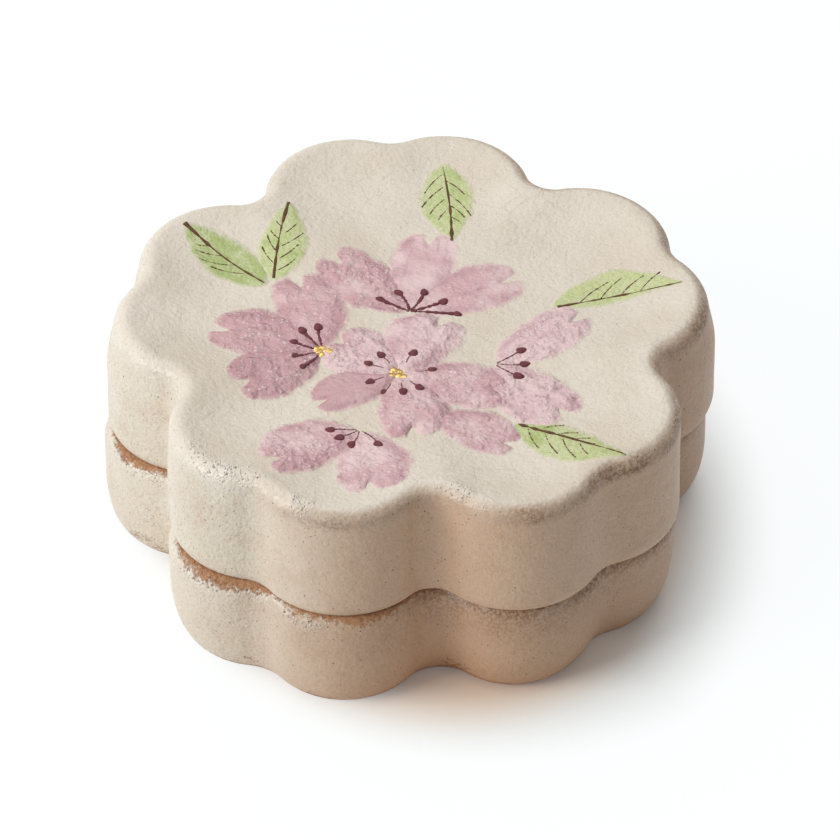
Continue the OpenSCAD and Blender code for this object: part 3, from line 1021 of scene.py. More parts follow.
def lid_stretches(form):
    """The lid's profile from the middle of its ceiling down, out and up to the middle of its top."""
    crest_inset = form.wall_lean + form.rim_round
    ceiling_inset = form.lid_wall + form.ceiling_round
    inside, bare, bare_edge = Finish(), Finish(clay=1), Finish(free=1, clay=1)
    edge, wall, top = Finish(free=1, clay=0.2, wall=1), Finish(free=1, wall=1), Finish(free=1)
    burnt, burnt_top = Finish(1, 0, 1, 0.9, 0.3), Finish(1, 0, 0.8, 0.6, 0.8)
    crest = Finish(free=1, rim=0.1, sand=1)
    c = form.corner
    dish = []
    for k in range(1, DISH_STEPS + 1):
        share = 1 - k / DISH_STEPS
        drop = dish_drop(form, (1 - share) * (form.outer_r - crest_inset))
        dish.append((crest_inset, share, CREST_Z - drop))
    middle = (ceiling_inset, 0.0, form.ceiling_z)
    round_end = (form.lid_wall, 1.0, form.ceiling_z - form.ceiling_round)
    rim_z = CREST_Z - form.rim_round
    tuck_top = SEAT_Z + form.lid_tuck_h
    below_rim = rim_z - BURNT_AND_SHADED_BAND
    ceiling_curve = (ceiling_inset, round_end[2], -form.ceiling_round, form.ceiling_round)
    tuck_curve = (form.lid_tuck, tuck_top, -form.lid_tuck, form.lid_tuck_h)
    rim_curve = (crest_inset, rim_z, -form.rim_round, form.rim_round)
    return [
        Stretch([middle] + run(middle, (ceiling_inset, 1.0, form.ceiling_z), 10), inside, inside),
        Stretch(bend(*ceiling_curve, 80, 0, 7), inside, inside),
        Stretch(run(round_end, (form.lid_wall, 1.0, SEAT_Z + c), 6), inside, bare),
        Stretch(bend(form.lid_wall - c, SEAT_Z + c, c, c, -20, -90, 3), bare, bare),
        Stretch(run((form.lid_wall - c, 1.0, SEAT_Z), (form.lid_tuck + c, 1.0, SEAT_Z), 3), bare, bare_edge),
        Stretch(bend(*tuck_curve, -90, -62, 5), bare_edge, edge),
        Stretch(bend(*tuck_curve, -50, 0, 5), edge._replace(clay=0.1), wall),
        Stretch(run((0.0, 1.0, tuck_top), (form.wall_lean, 1.0, below_rim), 16), wall, wall),
        Stretch(run((form.wall_lean, 1.0, below_rim), (form.wall_lean, 1.0, rim_z), 4), wall, burnt),
        Stretch(bend(*rim_curve, 10, 40, 5), burnt, burnt_top),
        Stretch(bend(*rim_curve, 46, 82, 5), burnt_top, crest),
        Stretch([(crest_inset, 1.0, CREST_Z)] + dish[:CREST_RINGS], crest, top),
        Stretch(dish[CREST_RINGS:], top, top),
    ]


def body_stretches(form):
    """The body's profile from its foot hollow out, up, over the flange and down into the well."""
    foot_edge = form.body_inset + form.foot_inset
    hollow = foot_edge + form.foot_ring_w
    flange = form.lid_wall + form.fit_gap
    well = flange + form.flange_t
    c = form.corner
    r, well_r = form.flange_round, form.well_round
    shoulder = form.body_inset + form.shoulder_inset
    shoulder_z = SEAT_Z - form.shoulder_h
    glazed, bare, bare_edge = Finish(), Finish(clay=1), Finish(free=1, clay=1)
    foot, wall = Finish(free=1, clay=0.65, wall=1), Finish(free=1, wall=1)
    peppered = Finish(free=1, rim=0.5, wall=1)
    shoulder_edge, near_seat = Finish(1, 0.3, 1, 1, 1), Finish(1, 0.4, 0.8, 1, 0.8)
    middle = (hollow, 0.0, form.foot_hollow)
    wall_low, wall_high = ((form.body_inset, 1.0, z) for z in (form.foot_curve_h, shoulder_z))
    well_high, well_low = ((well, 1.0, z) for z in (FLANGE_TOP_Z - r, form.well_floor_z + well_r))
    floor_edge = (well + well_r, 1.0, form.well_floor_z)
    well_curve = (well + well_r, well_low[2], -well_r, well_r)
    foot_curve = (foot_edge, form.foot_curve_h, -form.foot_inset, form.foot_curve_h)
    shoulder_curve = (shoulder, shoulder_z, -form.shoulder_inset, form.shoulder_h)
    return [
        Stretch([middle] + run(middle, (hollow + c, 1.0, form.foot_hollow), 8), bare, bare),
        Stretch(bend(hollow + c, form.foot_hollow - c, -c, c, 60, 0, 3), bare, bare),
        Stretch(bend(hollow - c, c, c, c, 0, -90, 4), bare, bare),
        Stretch(run((hollow - c, 1.0, 0.0), (foot_edge, 1.0, 0.0), 4), bare, bare_edge),
        Stretch(bend(*foot_curve, -84, -62, 4), foot, foot),
        Stretch(bend(*foot_curve, -56, 0, 9), foot._replace(clay=0.3), wall),
        Stretch(run(wall_low, wall_high, 8), wall, peppered),
        Stretch(bend(*shoulder_curve, 5, 40, 7), peppered, shoulder_edge),
        Stretch(bend(*shoulder_curve, 46, 90, 7), near_seat, bare_edge),
        Stretch(run((shoulder, 1.0, SEAT_Z), (flange - c, 1.0, SEAT_Z), 5), bare_edge, bare),
        Stretch(bend(flange - c, SEAT_Z + c, c, c, -60, 0, 3), bare, bare),
        Stretch(bend(flange + r, FLANGE_TOP_Z - r, -r, r, 0, 90, 6), Finish(clay=0.7), Finish(clay=0.2)),
        Stretch(bend(well - r, FLANGE_TOP_Z - r, r, r, 84, 0, 6), glazed, glazed),
        Stretch(run(well_high, well_low, 4), glazed, glazed),
        Stretch(bend(*well_curve, -12, -90, 7), glazed, glazed),
        Stretch(run(floor_edge, (well + well_r, 0.0, form.well_floor_z), 12), glazed, glazed),
    ]


# How far below the crest the top still counts as top, in depths of the dish
TOP_DEPTHS = 1.2


def raise_ridges(shell, form, free):
    """Soft ridges on the lid's top between the petals."""
    places = coordinates(shell.data)
    turn, radius = round_axis(places)
    share = radius / (form.outer_r - form.wall_lean - form.rim_round)
    ridge = (0.5 - 0.5 * np.cos(PETALS * (turn - FIRST_PETAL))) ** RIDGE_SHARPNESS
    on_top = free * (places[:, 2] > CREST_Z - TOP_DEPTHS * form.dish_depth)
    drop = np.clip((CREST_Z - places[:, 2]) / form.dish_depth, 0, 1)
    grown_up = ease((share - RIDGE_START) / (RIDGE_FULL - RIDGE_START))
    places[:, 2] += on_top * form.ridge_h * ridge * drop * grown_up
    set_coordinates(shell.data, places)


def widen(shell, form, amounts):
    """Moves the outer wall out by an amount for each point, less towards the axis."""
    places = coordinates(shell.data)
    far_out = round_axis(places)[1] / form.outer_r
    places[:, :2] *= 1 + (amounts * far_out / form.outer_r)[:, None]
    set_coordinates(shell.data, places)


# Half widths from its middle at which a petal's reach or a sand patch has faded out
FADE = 1.5


def reach_out(shell, form, free, reaches):
    """Lets each petal of the outer wall end a little farther out or in, as hand-cut petals do."""
    turn, _ = round_axis(coordinates(shell.data))
    push = np.zeros(len(turn))
    for petal, size in enumerate(reaches):
        off_middle = nearest_turn(turn - FIRST_PETAL - petal * PETAL_TURN)
        push += size * ease(FADE - np.abs(off_middle) / (PETAL_TURN / 2))
    widen(shell, form, push * free)


# The lid's wall draws in over this height below the crest, and fades out round the front by this cosine
RIM_DRAW_H = 7 * MM
RIM_DRAW_FRONT = 0.6


def draw_rim_in(shell, form, free):
    """Draws the lid's wall in towards its rim at the back and the sides, where a hand pressed it in."""
    places = coordinates(shell.data)
    turn, _ = round_axis(places)
    side = ease((np.cos(turn - FIRST_PETAL) + RIM_DRAW_FRONT) / RIM_DRAW_FRONT)
    height = ease((places[:, 2] - CREST_Z) / RIM_DRAW_H + 1)
    widen(shell, form, -form.rim_draw * side * height * free)


# The side that tapers, how narrow it is, as a cosine, and the height below which it does
TAPER_SIDE = math.radians(-40)
TAPER_EDGE = 0.75
TAPER_TOP = 14 * MM


def shift_wall(shell, form, free):
    """Moves and turns the body's outer wall against the flange, and tapers its right side."""
    places = coordinates(shell.data)
    x, y, z = places.T
    turn = form.body_turn * free
    moved_x = x * np.cos(turn) - y * np.sin(turn) + form.body_shift[0] * free
    moved_y = x * np.sin(turn) + y * np.cos(turn) + form.body_shift[1] * free
    side = ease((np.cos(round_axis(places)[0] - TAPER_SIDE) - TAPER_EDGE) / (1 - TAPER_EDGE))
    slant = np.clip(1 - z / TAPER_TOP, 0, 1)
    drawn_in = 1 - form.body_taper * side * slant * free / form.outer_r
    set_coordinates(shell.data, np.column_stack((moved_x * drawn_in, moved_y * drawn_in, z)))


# Where the glaze caught sand, round the lid's rim and the body's shoulder: directions and half widths in
# degrees, and how much sand
SandPatch = namedtuple("SandPatch", "turn half_width level")
LID_SAND = (SandPatch(225, 8, 0.9), SandPatch(244, 2.5, 0.9), SandPatch(275, 5, 0.8),
            SandPatch(188, 6, 0.3))
BODY_SAND = (SandPatch(193, 7, 1.0), SandPatch(223, 6, 1.0), SandPatch(236, 7, 0.8), SandPatch(245, 5, 1.0),
             SandPatch(277, 4, 0.7), SandPatch(292, 5, 0.3))
# Lumps of the sandy glaze: (waves per millimetre, height), and the height that all of it has
LUMPS = ((0.4, 1.0), (0.9, 0.7))
LUMP_BASE = 0.6


def catch_sand(shell, form, level, patches, offset):
    """Keeps the sand to its patches, and lets the glaze roll up in lumps there."""
    places = coordinates(shell.data)
    turn, _ = round_axis(places)
    caught = np.zeros(len(places))
    for patch in patches:
        off_middle = np.abs(nearest_turn(turn - math.radians(patch.turn)))
        here = patch.level * ease(FADE - off_middle / math.radians(patch.half_width))
        caught = np.maximum(caught, here)
    caught *= level
    put_attribute(shell.data, "sand", caught)
    lumps = LUMP_BASE + sum(high * smooth_noise(places, per_mm, offset) for per_mm, high in LUMPS)
    push_out(shell.data, places, form.roughness * caught * lumps)


# Where in the noise each piece's unevenness and lumps begin
LID_NOISE = (3.0, 4.0)
BODY_NOISE = (11.0, 12.0)


class KOGO_OT_lid(bpy.types.Operator):
    """Build the lid: a deep flower-shaped cap with a dished top"""

    bl_idname = "kogo.lid"
    bl_label = "Lid"

    def execute(self, context):
        form = context.scene.kogo_form
        finish = glaze_finish(context.scene.kogo_glaze)
        lid, levels = swept_shell("kogo_lid", form, lid_stretches(form), finish)
        raise_ridges(lid, form, levels["free"])
        reach_out(lid, form, levels["free"], form.lid_reach)
        draw_rim_in(lid, form, levels["free"])
        shape_by_hand(lid, form, levels["free"], LID_NOISE[0])
        catch_sand(lid, form, levels["sand"], LID_SAND, LID_NOISE[1])
        seat_piece(lid, "lid", "cream_glaze", "lid")
        return {"FINISHED"}


class KOGO_OT_body(bpy.types.Operator):
    """Build the body: a shallow flower-shaped dish with a flange that locates the lid"""

    bl_idname = "kogo.body"
    bl_label = "Body"

    def execute(self, context):
        form = context.scene.kogo_form
        finish = bpy.data.materials.get("glaze_on_clay") or glaze_finish(context.scene.kogo_glaze)
        body, levels = swept_shell("kogo_body", form, body_stretches(form), finish)
        shift_wall(body, form, levels["free"])
        reach_out(body, form, levels["free"], form.body_reach)
        shape_by_hand(body, form, levels["free"], BODY_NOISE[0])
        catch_sand(body, form, levels["sand"], BODY_SAND, BODY_NOISE[1])
        seat_piece(body, "body", "cream_glaze", "body")
        return {"FINISHED"}


# Painting

# A petal or leaf is placed by its base, its turn in degrees, its length and its width, all in millimetres.
# Its grain says how sandy its enamel is, from 0 to 1, and its lean how far its belly lies to the left, in
# widths.
Brushmark = namedtuple("Brushmark", "x y turn length width layer grain lean depth", defaults=(0.0,))
# Petals are (turn, length, width, grain, depth of the pink), stamens (turn, length). Line is the stamens'
# share of the line width, and bare is how far from the centre they begin.
Blossom = namedtuple("Blossom", "x y layer line bare gold petals stamens")
BLOSSOMS = (
    Blossom(-0.1, 2.6, 0, 1.5, 0.1, False,
            ((130, 14.4, 9.2, 0.95, 0.12), (20, 14.8, 8.8, 0.4, 0.06), (75, 14.8, 9.0, 0.15, 0.05)),
            ((148, 4.0), (109, 3.4), (58, 3.6), (17, 4.2), (351, 5.6))),
    Blossom(-10.7, -4.0, 1, 1.35, 0.9, True,
            ((100, 14.6, 9.4, 0.7, 0.24), (157, 14.4, 9.4, 1.0, 0.36), (207, 12.2, 9.6, 1.0, 0.5)),
            ((94, 4.2), (120, 4.4), (152, 3.7), (193, 3.4), (226, 3.6))),
    Blossom(9.0, -7.3, 1, 0.75, 0.3, False,
            ((35, 14.0, 8.0, 0.85, -0.12), (-52, 13.0, 9.6, 0.95, -0.16)),
            ((28, 3.7), (353, 3.5), (314, 3.6))),
    Blossom(-7.3, -17.6, 1, 0.75, 0.4, False,
            ((206, 13.0, 9.6, 0.9, 0.0), (272, 11.6, 9.8, 0.65, -0.02)),
            ((180, 3.4), (209, 2.8), (246, 2.8), (303, 3.4))),
    Blossom(-2.2, -8.4, 3, 0.6, 1.9, True,
            ((136, 10.2, 9.8, 0.95, -0.08), (204, 11.4, 7.0, 0.25, 0.4), (343, 13.8, 8.6, 0.8, -0.06),
             (274, 11.6, 9.8, 0.85, -0.05), (57, 11.8, 10.2, 0.75, -0.16)),
            ((59, 3.7), (120, 3.7), (153, 3.8), (202, 3.7), (237, 3.6), (274, 3.5), (307, 3.6), (4, 3.9))),
)
LOOSE_PETAL = Brushmark(0.6, -16.0, -31, 11.4, 7.6, 2, 0.7, 0.1, 0.05)
# Leaves, each with the sides that have veins (1 is to the left of the way from base to tip)
# and the midrib's width at its base and its tip, in line widths
Leaf = namedtuple("Leaf", "mark vein_sides rib")
LEAVES = (
    Leaf(Brushmark(-16.4, 8.4, 131, 14.6, 7.0, 0, 0.4, 0.05, 0.2), (1,), (0.6, 1.5)),
    Leaf(Brushmark(-15.8, 9.0, 79, 14.0, 6.4, 1, 0.4, -0.05), (-1, 1), (0.9, 1.1)),
    Leaf(Brushmark(5.8, 28.7, 270, 14.4, 7.4, 0, 0.4, 0.0), (-1, 1), (0.4, 1.3)),
    Leaf(Brushmark(16.6, 2.0, 8, 16.0, 6.2, 0, 0.4, 0.32, -0.2), (1,), (1.1, 0.6)),
    Leaf(Brushmark(10.3, -17.5, -33, 14.8, 6.6, 0, 0.4, -0.15), (-1, 1), (1.4, 0.5)),
)
# Size of a petal or leaf in millimetres at which the distances to its edge are worked out
USUAL_PETAL = (12.5, 7.6)
USUAL_LEAF = (14.5, 6.2)


def patch_object(name, outline, size, steps_along, steps_across):
    """Unit patch of enamel. outline gives (half width, length) for a share along and a side from -1 to 1."""
    vertices, uvs, edges, bellies = [], [], [], []
    for i in range(steps_along + 1):
        along = i / steps_along
        for j in range(steps_across + 1):
            side = 2 * j / steps_across - 1
            half, reach = outline(along, side)
            vertices.append((along * reach, half * side, 0))
            uvs.append((along, j / steps_across))
            to_side = (1 - abs(side)) * half * size[1]
            to_tip = (1 - along) * size[0]
            to_base = along * size[0]
            edges.append(min(to_side, to_tip, to_base))
            bellies.append(math.sin(math.pi * along))
    faces = []
    row = steps_across + 1
    for i in range(steps_along):
        for j in range(steps_across):
            a = i * row + j
            faces.append((a, a + row, a + row + 1, a + 1))
    made = new_object(name, vertices, faces=faces, edge=edges, belly=bellies)
    layer = made.data.uv_layers.new(name="UVMap")
    for loop in made.data.loops:
        layer.data[loop.index].uv = uvs[loop.vertex_index]
    return made


# A petal's widest place, the blunt end past it, its notch and the round of its tip, in shares of its size
PETAL_BELLY = 0.62
PETAL_BLUNT = 0.45
PETAL_NOTCH = 0.17
PETAL_NOTCH_W = 0.2
PETAL_TIP_ROUND = 0.05
# Exponents that shape the sides of a petal below its belly, and of a leaf
PETAL_SIDE = (2.2, 0.7)
LEAF_SIDE = (0.85, 0.8)
LEAST_PETAL_HALF = 0.03
LEAST_LEAF_HALF = 0.01


def petal_outline(along, side):
    """Cherry petal: narrow at its base, widest past the middle, blunt and notched at its tip."""
    if along < PETAL_BELLY:
        half = 0.5 * (1 - ((PETAL_BELLY - along) / PETAL_BELLY) ** PETAL_SIDE[0]) ** PETAL_SIDE[1]
    else:
        half = 0.5 * math.sqrt(1 - ((along - PETAL_BELLY) / PETAL_BLUNT) ** 2)
    notch = PETAL_NOTCH * math.exp(-((side / PETAL_NOTCH_W) ** 2)) + PETAL_TIP_ROUND * side * side
    return max(half, LEAST_PETAL_HALF), 1 - along ** 3 * notch


def leaf_outline(along, side):
    """Pointed oval leaf, a little fuller towards its base."""
    half = 0.5 * math.sin(math.pi * along ** LEAF_SIDE[0]) ** LEAF_SIDE[1]
    return max(half, LEAST_LEAF_HALF), 1.0


# Grid of one petal and one leaf, along and across, and how ragged their enamel's edge is
PETAL_STEPS = (60, 40)
LEAF_STEPS = (70, 30)
PETAL_RAGGEDNESS = 0.9
LEAF_RAGGEDNESS = 0.5
# How much the depth of colour and the lean vary, and the layers from one petal of a blossom to the next
TONE_SPREAD = 0.08
LEAN_SPREAD = 0.1
LAYER_RISE = 0.3


def lay_patches(context, name, marks, seed, unit, slot, **inputs):
    """Lays petals or leaves on the lid, as one piece of raised enamel."""
    painting = context.scene.kogo_painting
    tones = np.random.default_rng(seed).uniform(-TONE_SPREAD, TONE_SPREAD, len(marks))
    piece = new_object(
        name, [(m.x * MM, m.y * MM, CREST_Z) for m in marks], turn=[math.radians(m.turn) for m in marks],
        length=[m.length * MM for m in marks], width=[m.width * MM for m in marks],
        layer=[m.layer for m in marks], grain=[m.grain for m in marks], lean=[m.lean for m in marks],
        tone=tones + [m.depth for m in marks],
    )
    grown(piece, tree_named("Lay enamel patches", patch_tree), patch=unit,
          ground=bpy.data.objects["kogo_lid"], layer_step=painting.layer_step, warp=painting.warp, **inputs)
    discard(unit)
    seat_piece(piece, "lid", slot)


class KOGO_OT_petals(bpy.types.Operator):
    """Paint the blossoms' petals in raised pink enamel"""

    bl_idname = "kogo.petals"
    bl_label = "Petals"

    def execute(self, context):
        painting = context.scene.kogo_painting
        marks = [LOOSE_PETAL]
        rng = np.random.default_rng(painting.seed)
        for blossom in BLOSSOMS:
            for k, (turn, size, width, grain, depth) in enumerate(blossom.petals):
                layer = blossom.layer + LAYER_RISE * k
                lean = rng.uniform(-LEAN_SPREAD, LEAN_SPREAD)
                marks.append(Brushmark(blossom.x, blossom.y, turn, size, width, layer, grain, lean, depth))
        unit = patch_object("petal_unit", petal_outline, USUAL_PETAL, *PETAL_STEPS)
        finish = petal_finish(context.scene.kogo_glaze, painting)
        lay_patches(context, "blossom_petals", marks, painting.seed, unit, "pink_enamel",
                    relief=painting.petal_relief, raggedness=PETAL_RAGGEDNESS, material=finish)
        return {"FINISHED"}


class KOGO_OT_leaves(bpy.types.Operator):
    """Paint the leaves in green enamel"""

    bl_idname = "kogo.leaves"
    bl_label = "Leaves"

    def execute(self, context):
        painting = context.scene.kogo_painting
        marks = [leaf.mark for leaf in LEAVES]
        unit = patch_object("leaf_unit", leaf_outline, USUAL_LEAF, *LEAF_STEPS)
        finish = leaf_finish(context.scene.kogo_glaze, painting)
        lay_patches(context, "leaves", marks, painting.seed + 1, unit, "green_enamel",
                    relief=painting.leaf_relief, raggedness=LEAF_RAGGEDNESS, material=finish)
        return {"FINISHED"}


STROKE_STEPS = 20
STROKE_SIDES = 8
STROKE_FLATNESS = 0.4
# Least and largest share of its width that an unsteady brush leaves
LEAST_WIDTH = 0.5
LARGEST_WIDTH = 1.5


class Strokes:
    """Collects brush lines on the lid's top, as points, edges and half widths."""

    def __init__(self, seed):
        self.points = []
        self.edges = []
        self.half_widths = []
        self.rng = np.random.default_rng(seed)

    def line(self, start, end, bow, first_width, last_width, least=LEAST_WIDTH):
        """One line that bows sideways by a share of its length, as wide as an unsteady brush."""
        start, end = np.array(start), np.array(end)
        aside = np.array((start[1] - end[1], end[0] - start[0]))
        wobble = self.rng.uniform(least, LARGEST_WIDTH, STROKE_STEPS + 1)
        base = len(self.points)
        for k in range(STROKE_STEPS + 1):
            share = k / STROKE_STEPS
            place = start + (end - start) * share + aside * bow * math.sin(math.pi * share)
            self.points.append((*(place * MM), CREST_Z))
            self.half_widths.append((first_width + (last_width - first_width) * share) * wobble[k])
        self.edges += [(base + k, base + k + 1) for k in range(STROKE_STEPS)]

    def lay(self, name, ground, finish):
        made = new_object(name, self.points, self.edges, half_width=self.half_widths)
        return grown(made, tree_named("Lay brush strokes", stroke_tree), ground=ground,
                     flatness=STROKE_FLATNESS, sides=STROKE_SIDES, material=finish)


def joined_ground(names):
    """One temporary mesh of several finished pieces, for lines that lie over all of them."""
    work = bmesh.new()
    for name in names:
        work.from_mesh(bpy.data.objects[name].data)
    together = bpy.data.meshes.new("ground")
    work.to_mesh(together)
    work.free()
    return linked("ground", together)


def oval_object(name, segments, rings):
    """Unit bead to copy, from a small sphere."""
    work = bmesh.new()
    bmesh.ops.create_uvsphere(work, u_segments=segments, v_segments=rings, radius=1)
    mesh = bpy.data.meshes.new(name)
    work.to_mesh(mesh)
    work.free()
    return linked(name, mesh)


def join_meshes(name, first, second):
    """Adds the second object's mesh to the first and discards the second."""
    work = bmesh.new()
    for part in (first, second):
        work.from_mesh(part.data)
    work.to_mesh(first.data)
    work.free()
    discard(second)
    first.name = name
    return first


# A stamen's bow and the share of its width at its base
STAMEN_BOW = 0.08
STAMEN_BASE = 0.6
# An anther's turn off its stamen, its least and largest size, its width, its height and its unevenness
ANTHER_TURN = 0.5
ANTHER_SIZES = (0.85, 1.15)
ANTHER_W = 0.82
ANTHER_H = 0.32
ANTHER_UNEVEN = 0.1
# Steps round and along the bead that is copied
ANTHER_STEPS = (12, 8)


class KOGO_OT_stamens(bpy.types.Operator):
    """Draw the blossoms' stamens: fine brown lines that end in oval anthers"""

    bl_idname = "kogo.stamens"
    bl_label = "Stamens"

    def execute(self, context):
        painting = context.scene.kogo_painting
        strokes = Strokes(painting.seed + 2)
        anthers, turns = [], []
        for blossom in BLOSSOMS:
            for turn, size in blossom.stamens:
                way = polar(1, math.radians(turn))
                centre = np.array((blossom.x, blossom.y))
                start = centre + way * blossom.bare
                tip = centre + way * size
                bow = strokes.rng.uniform(-STAMEN_BOW, STAMEN_BOW)
                width = painting.line_w * blossom.line
                strokes.line(start, tip, bow, STAMEN_BASE * width, width)
                anthers.append((*(tip * MM), CREST_Z))
                turns.append(math.radians(turn) + strokes.rng.uniform(-ANTHER_TURN, ANTHER_TURN))
        ground = joined_ground(("kogo_lid", "blossom_petals"))
        finish = line_finish("stamen_enamel", painting.brown)
        lines = strokes.lay("stamens", ground, finish)
        sizes = strokes.rng.uniform(*ANTHER_SIZES, len(anthers)) * painting.anther_r
        beads = new_object("anthers", anthers, turn=turns, tilt=[0.0] * len(anthers), length=sizes,
                           width=sizes * ANTHER_W)
        oval = oval_object("anther_unit", *ANTHER_STEPS)
        for vertex in oval.data.vertices:
            uneven = 1 + ANTHER_UNEVEN * math.sin(3 * math.atan2(vertex.co.y, vertex.co.x) + 1)
            vertex.co = (vertex.co.x * uneven, vertex.co.y * uneven, vertex.co.z * ANTHER_H)
        grown(beads, tree_named("Set copies on ground", copies_tree), copy=oval, ground=ground, lift=0.0,
              material=finish)
        discard(oval, ground)
        stamens = join_meshes("stamens", lines, beads)
        seat_piece(stamens, "lid", "brown_enamel")
        return {"FINISHED"}


# Millimetres that the midrib keeps off the leaf's base and tip, its bow and the least share of its width
RIB_ENDS = (0.6, 0.4)
RIB_BOW = 0.02
RIB_LEAST = 0.3
# Side veins: where the first begins and how far the rest run, as shares of the leaf, the stagger of the two
# sides, the gap to the midrib in millimetres, and where along the leaf their room is taken
VEIN_PAIRS = 4
VEIN_START = 0.1
VEIN_RUN = 0.6
VEIN_STAGGER = 0.04
VEIN_GAP = 0.25
VEIN_AHEAD = 0.25
# Their angle to the midrib and how it varies, how far they reach, their bow and their widths
VEIN_SPREAD = math.radians(36)
VEIN_VARIES = 0.15
VEIN_REACH = (0.5, 0.85)
VEIN_BOW = 0.05
VEIN_WIDTHS = (0.45, 0.55)
VEIN_LEAST = 0.1


class KOGO_OT_veins(bpy.types.Operator):
    """Draw a midrib and side veins on each leaf"""

    bl_idname = "kogo.veins"
    bl_label = "Leaf veins"

    def execute(self, context):
        painting = context.scene.kogo_painting
        strokes = Strokes(painting.seed + 3)
        for leaf in LEAVES:
            mark = leaf.mark
            base = np.array((mark.x, mark.y))
            turn = math.radians(mark.turn)
            way = polar(1, turn)
            first, last = (share * painting.line_w for share in leaf.rib)
            rib_start, rib_end = base + way * RIB_ENDS[0], base + way * (mark.length - RIB_ENDS[1])
            strokes.line(rib_start, rib_end, RIB_BOW, first, last, RIB_LEAST)
            first, last = (share * painting.line_w for share in VEIN_WIDTHS)
            for k in range(1, VEIN_PAIRS + 1):
                share = VEIN_START + VEIN_RUN * (k - 0.5) / VEIN_PAIRS
                for side in leaf.vein_sides:
                    start = base + way * mark.length * (share + VEIN_STAGGER * side)
                    start = start + polar(VEIN_GAP, turn + side * math.pi / 2)
                    half, _ = leaf_outline(share + VEIN_AHEAD, 1)
                    spread = VEIN_SPREAD + strokes.rng.uniform(-VEIN_VARIES, VEIN_VARIES)
                    room = (half + mark.lean * math.sin(math.pi * share) * side) * mark.width
                    reach = room / math.sin(spread) * strokes.rng.uniform(*VEIN_REACH)
                    end = start + polar(reach, turn + spread * side)
                    strokes.line(start, end, VEIN_BOW * side, first, last, VEIN_LEAST)
        ground = joined_ground(("kogo_lid", "leaves"))
        finish = line_finish("vein_enamel", painting.vein)
        veins = strokes.lay("leaf_veins", ground, finish)
        discard(ground)
        seat_piece(veins, "lid", "brown_enamel")
        return {"FINISHED"}


FLECKS_PER_CENTRE = 12
FLECK_CORNERS = 7
# Spread of the flecks in millimetres, and how many spreads from the centre they reach
FLECK_SPREAD = (0.72, 0.5)
FLECK_REACH = 1.2
# Least and largest size, tilt and width of a fleck
FLECK_SIZES = (0.55, 1.1)
FLECK_TILT = 0.2
FLECK_W = 0.8
# The fleck that is copied: how far out and how high its corners lie, its middle and its thickness
CORNER_R = (0.7, 1.1)
CORNER_Z = (-0.06, 0.1)
FLECK_MIDDLE = 0.1
FLECK_T = 0.15
FLECK_LIFT = 0.03 * MM


class KOGO_OT_gold(bpy.types.Operator):
    """Lay flecks of gold leaf at the centres of the open blossoms"""

    bl_idname = "kogo.gold"
    bl_label = "Gold leaf"

    def execute(self, context):
        painting = context.scene.kogo_painting
        rng = np.random.default_rng(painting.seed + 4)
        places = []
        for blossom in BLOSSOMS:
            if blossom.gold:
                spread = rng.normal(0, 1, (FLECKS_PER_CENTRE, 2))
                spread = spread.clip(-FLECK_REACH, FLECK_REACH) * FLECK_SPREAD
                places += [((blossom.x + x) * MM, (blossom.y + y) * MM, CREST_Z) for x, y in spread]
        count = len(places)
        radius = rng.uniform(*FLECK_SIZES, count) * painting.fleck_r
        points = new_object("gold_flecks", places, turn=rng.uniform(0, 2 * math.pi, count),
                            tilt=rng.uniform(-FLECK_TILT, FLECK_TILT, count), length=radius,
                            width=radius * FLECK_W)
        ring = []
        for k in range(FLECK_CORNERS):
            corner = polar(rng.uniform(*CORNER_R), 2 * math.pi * k / FLECK_CORNERS)
            ring.append((*corner, rng.uniform(*CORNER_Z)))
        under = [(x, y, z - FLECK_T) for x, y, z in ring]
        vertices = [(0.0, 0.0, FLECK_MIDDLE)] + ring + under + [(0.0, 0.0, -FLECK_T)]
        n = FLECK_CORNERS
        faces = []
        for k in range(n):
            a, b = 1 + k, 1 + (k + 1) % n
            faces += [(0, a, b), (a, a + n, b + n, b), (2 * n + 1, b + n, a + n)]
        unit = new_object("fleck_unit", vertices, faces=faces)
        ground = joined_ground(("kogo_lid", "blossom_petals"))
        grown(points, tree_named("Set copies on ground", copies_tree), copy=unit, ground=ground,
              lift=FLECK_LIFT, material=gold_finish(painting))
        discard(unit, ground)
        seat_piece(points, "lid", "gold_leaf")
        return {"FINISHED"}


# Grit

# Radius of the smallest grain as a share of the largest
LEAST_GRAIN = 0.15
GRIT_SEED = 7


class KOGO_OT_grit(bpy.types.Operator):
    """Scatter glazed sand grains along the rim and the shoulder"""

    bl_idname = "kogo.grit"
    bl_label = "Grit"

    def execute(self, context):
        glaze = context.scene.kogo_glaze
        finish = grit_finish(glaze)
        for body in ("lid", "body"):
            shell = bpy.data.objects[f"kogo_{body}"]
            grains = linked(f"{body}_grit", shell.data.copy())
            grown(grains, tree_named("Scatter grit", grit_tree), density=glaze.grit_density,
                  least_radius=LEAST_GRAIN * glaze.grit_r, largest_radius=glaze.grit_r, seed=GRIT_SEED,
                  material=finish)
            seat_piece(grains, body, "cream_glaze")
        return {"FINISHED"}


# Stage

FLOOR_HALF = 3.0
# Distances from the box, in metres, between which the floor's own glow sets in, and their stretch
GLOW_SPAN = (0.0305, 0.0445)
GLOW_SQUASH = (1.0, 0.81, 1.0)
# Painted warm bounce light from the clay on the floor close to the foot
BOUNCE_SPAN = (0.027, 0.036)
BOUNCE_TINT = linear("F7DDBE")
# How much nearer the glow comes towards the lit side
LIT_SIDE = (-0.26, -0.2, 0.0)
FLOOR_SHINE = 1.06
# The floor's fine tooth: bumps to a metre, their height and their strength
TOOTH_PER_M = 900.0
TOOTH_H = 0.05 * MM
TOOTH_STRENGTH = 0.3
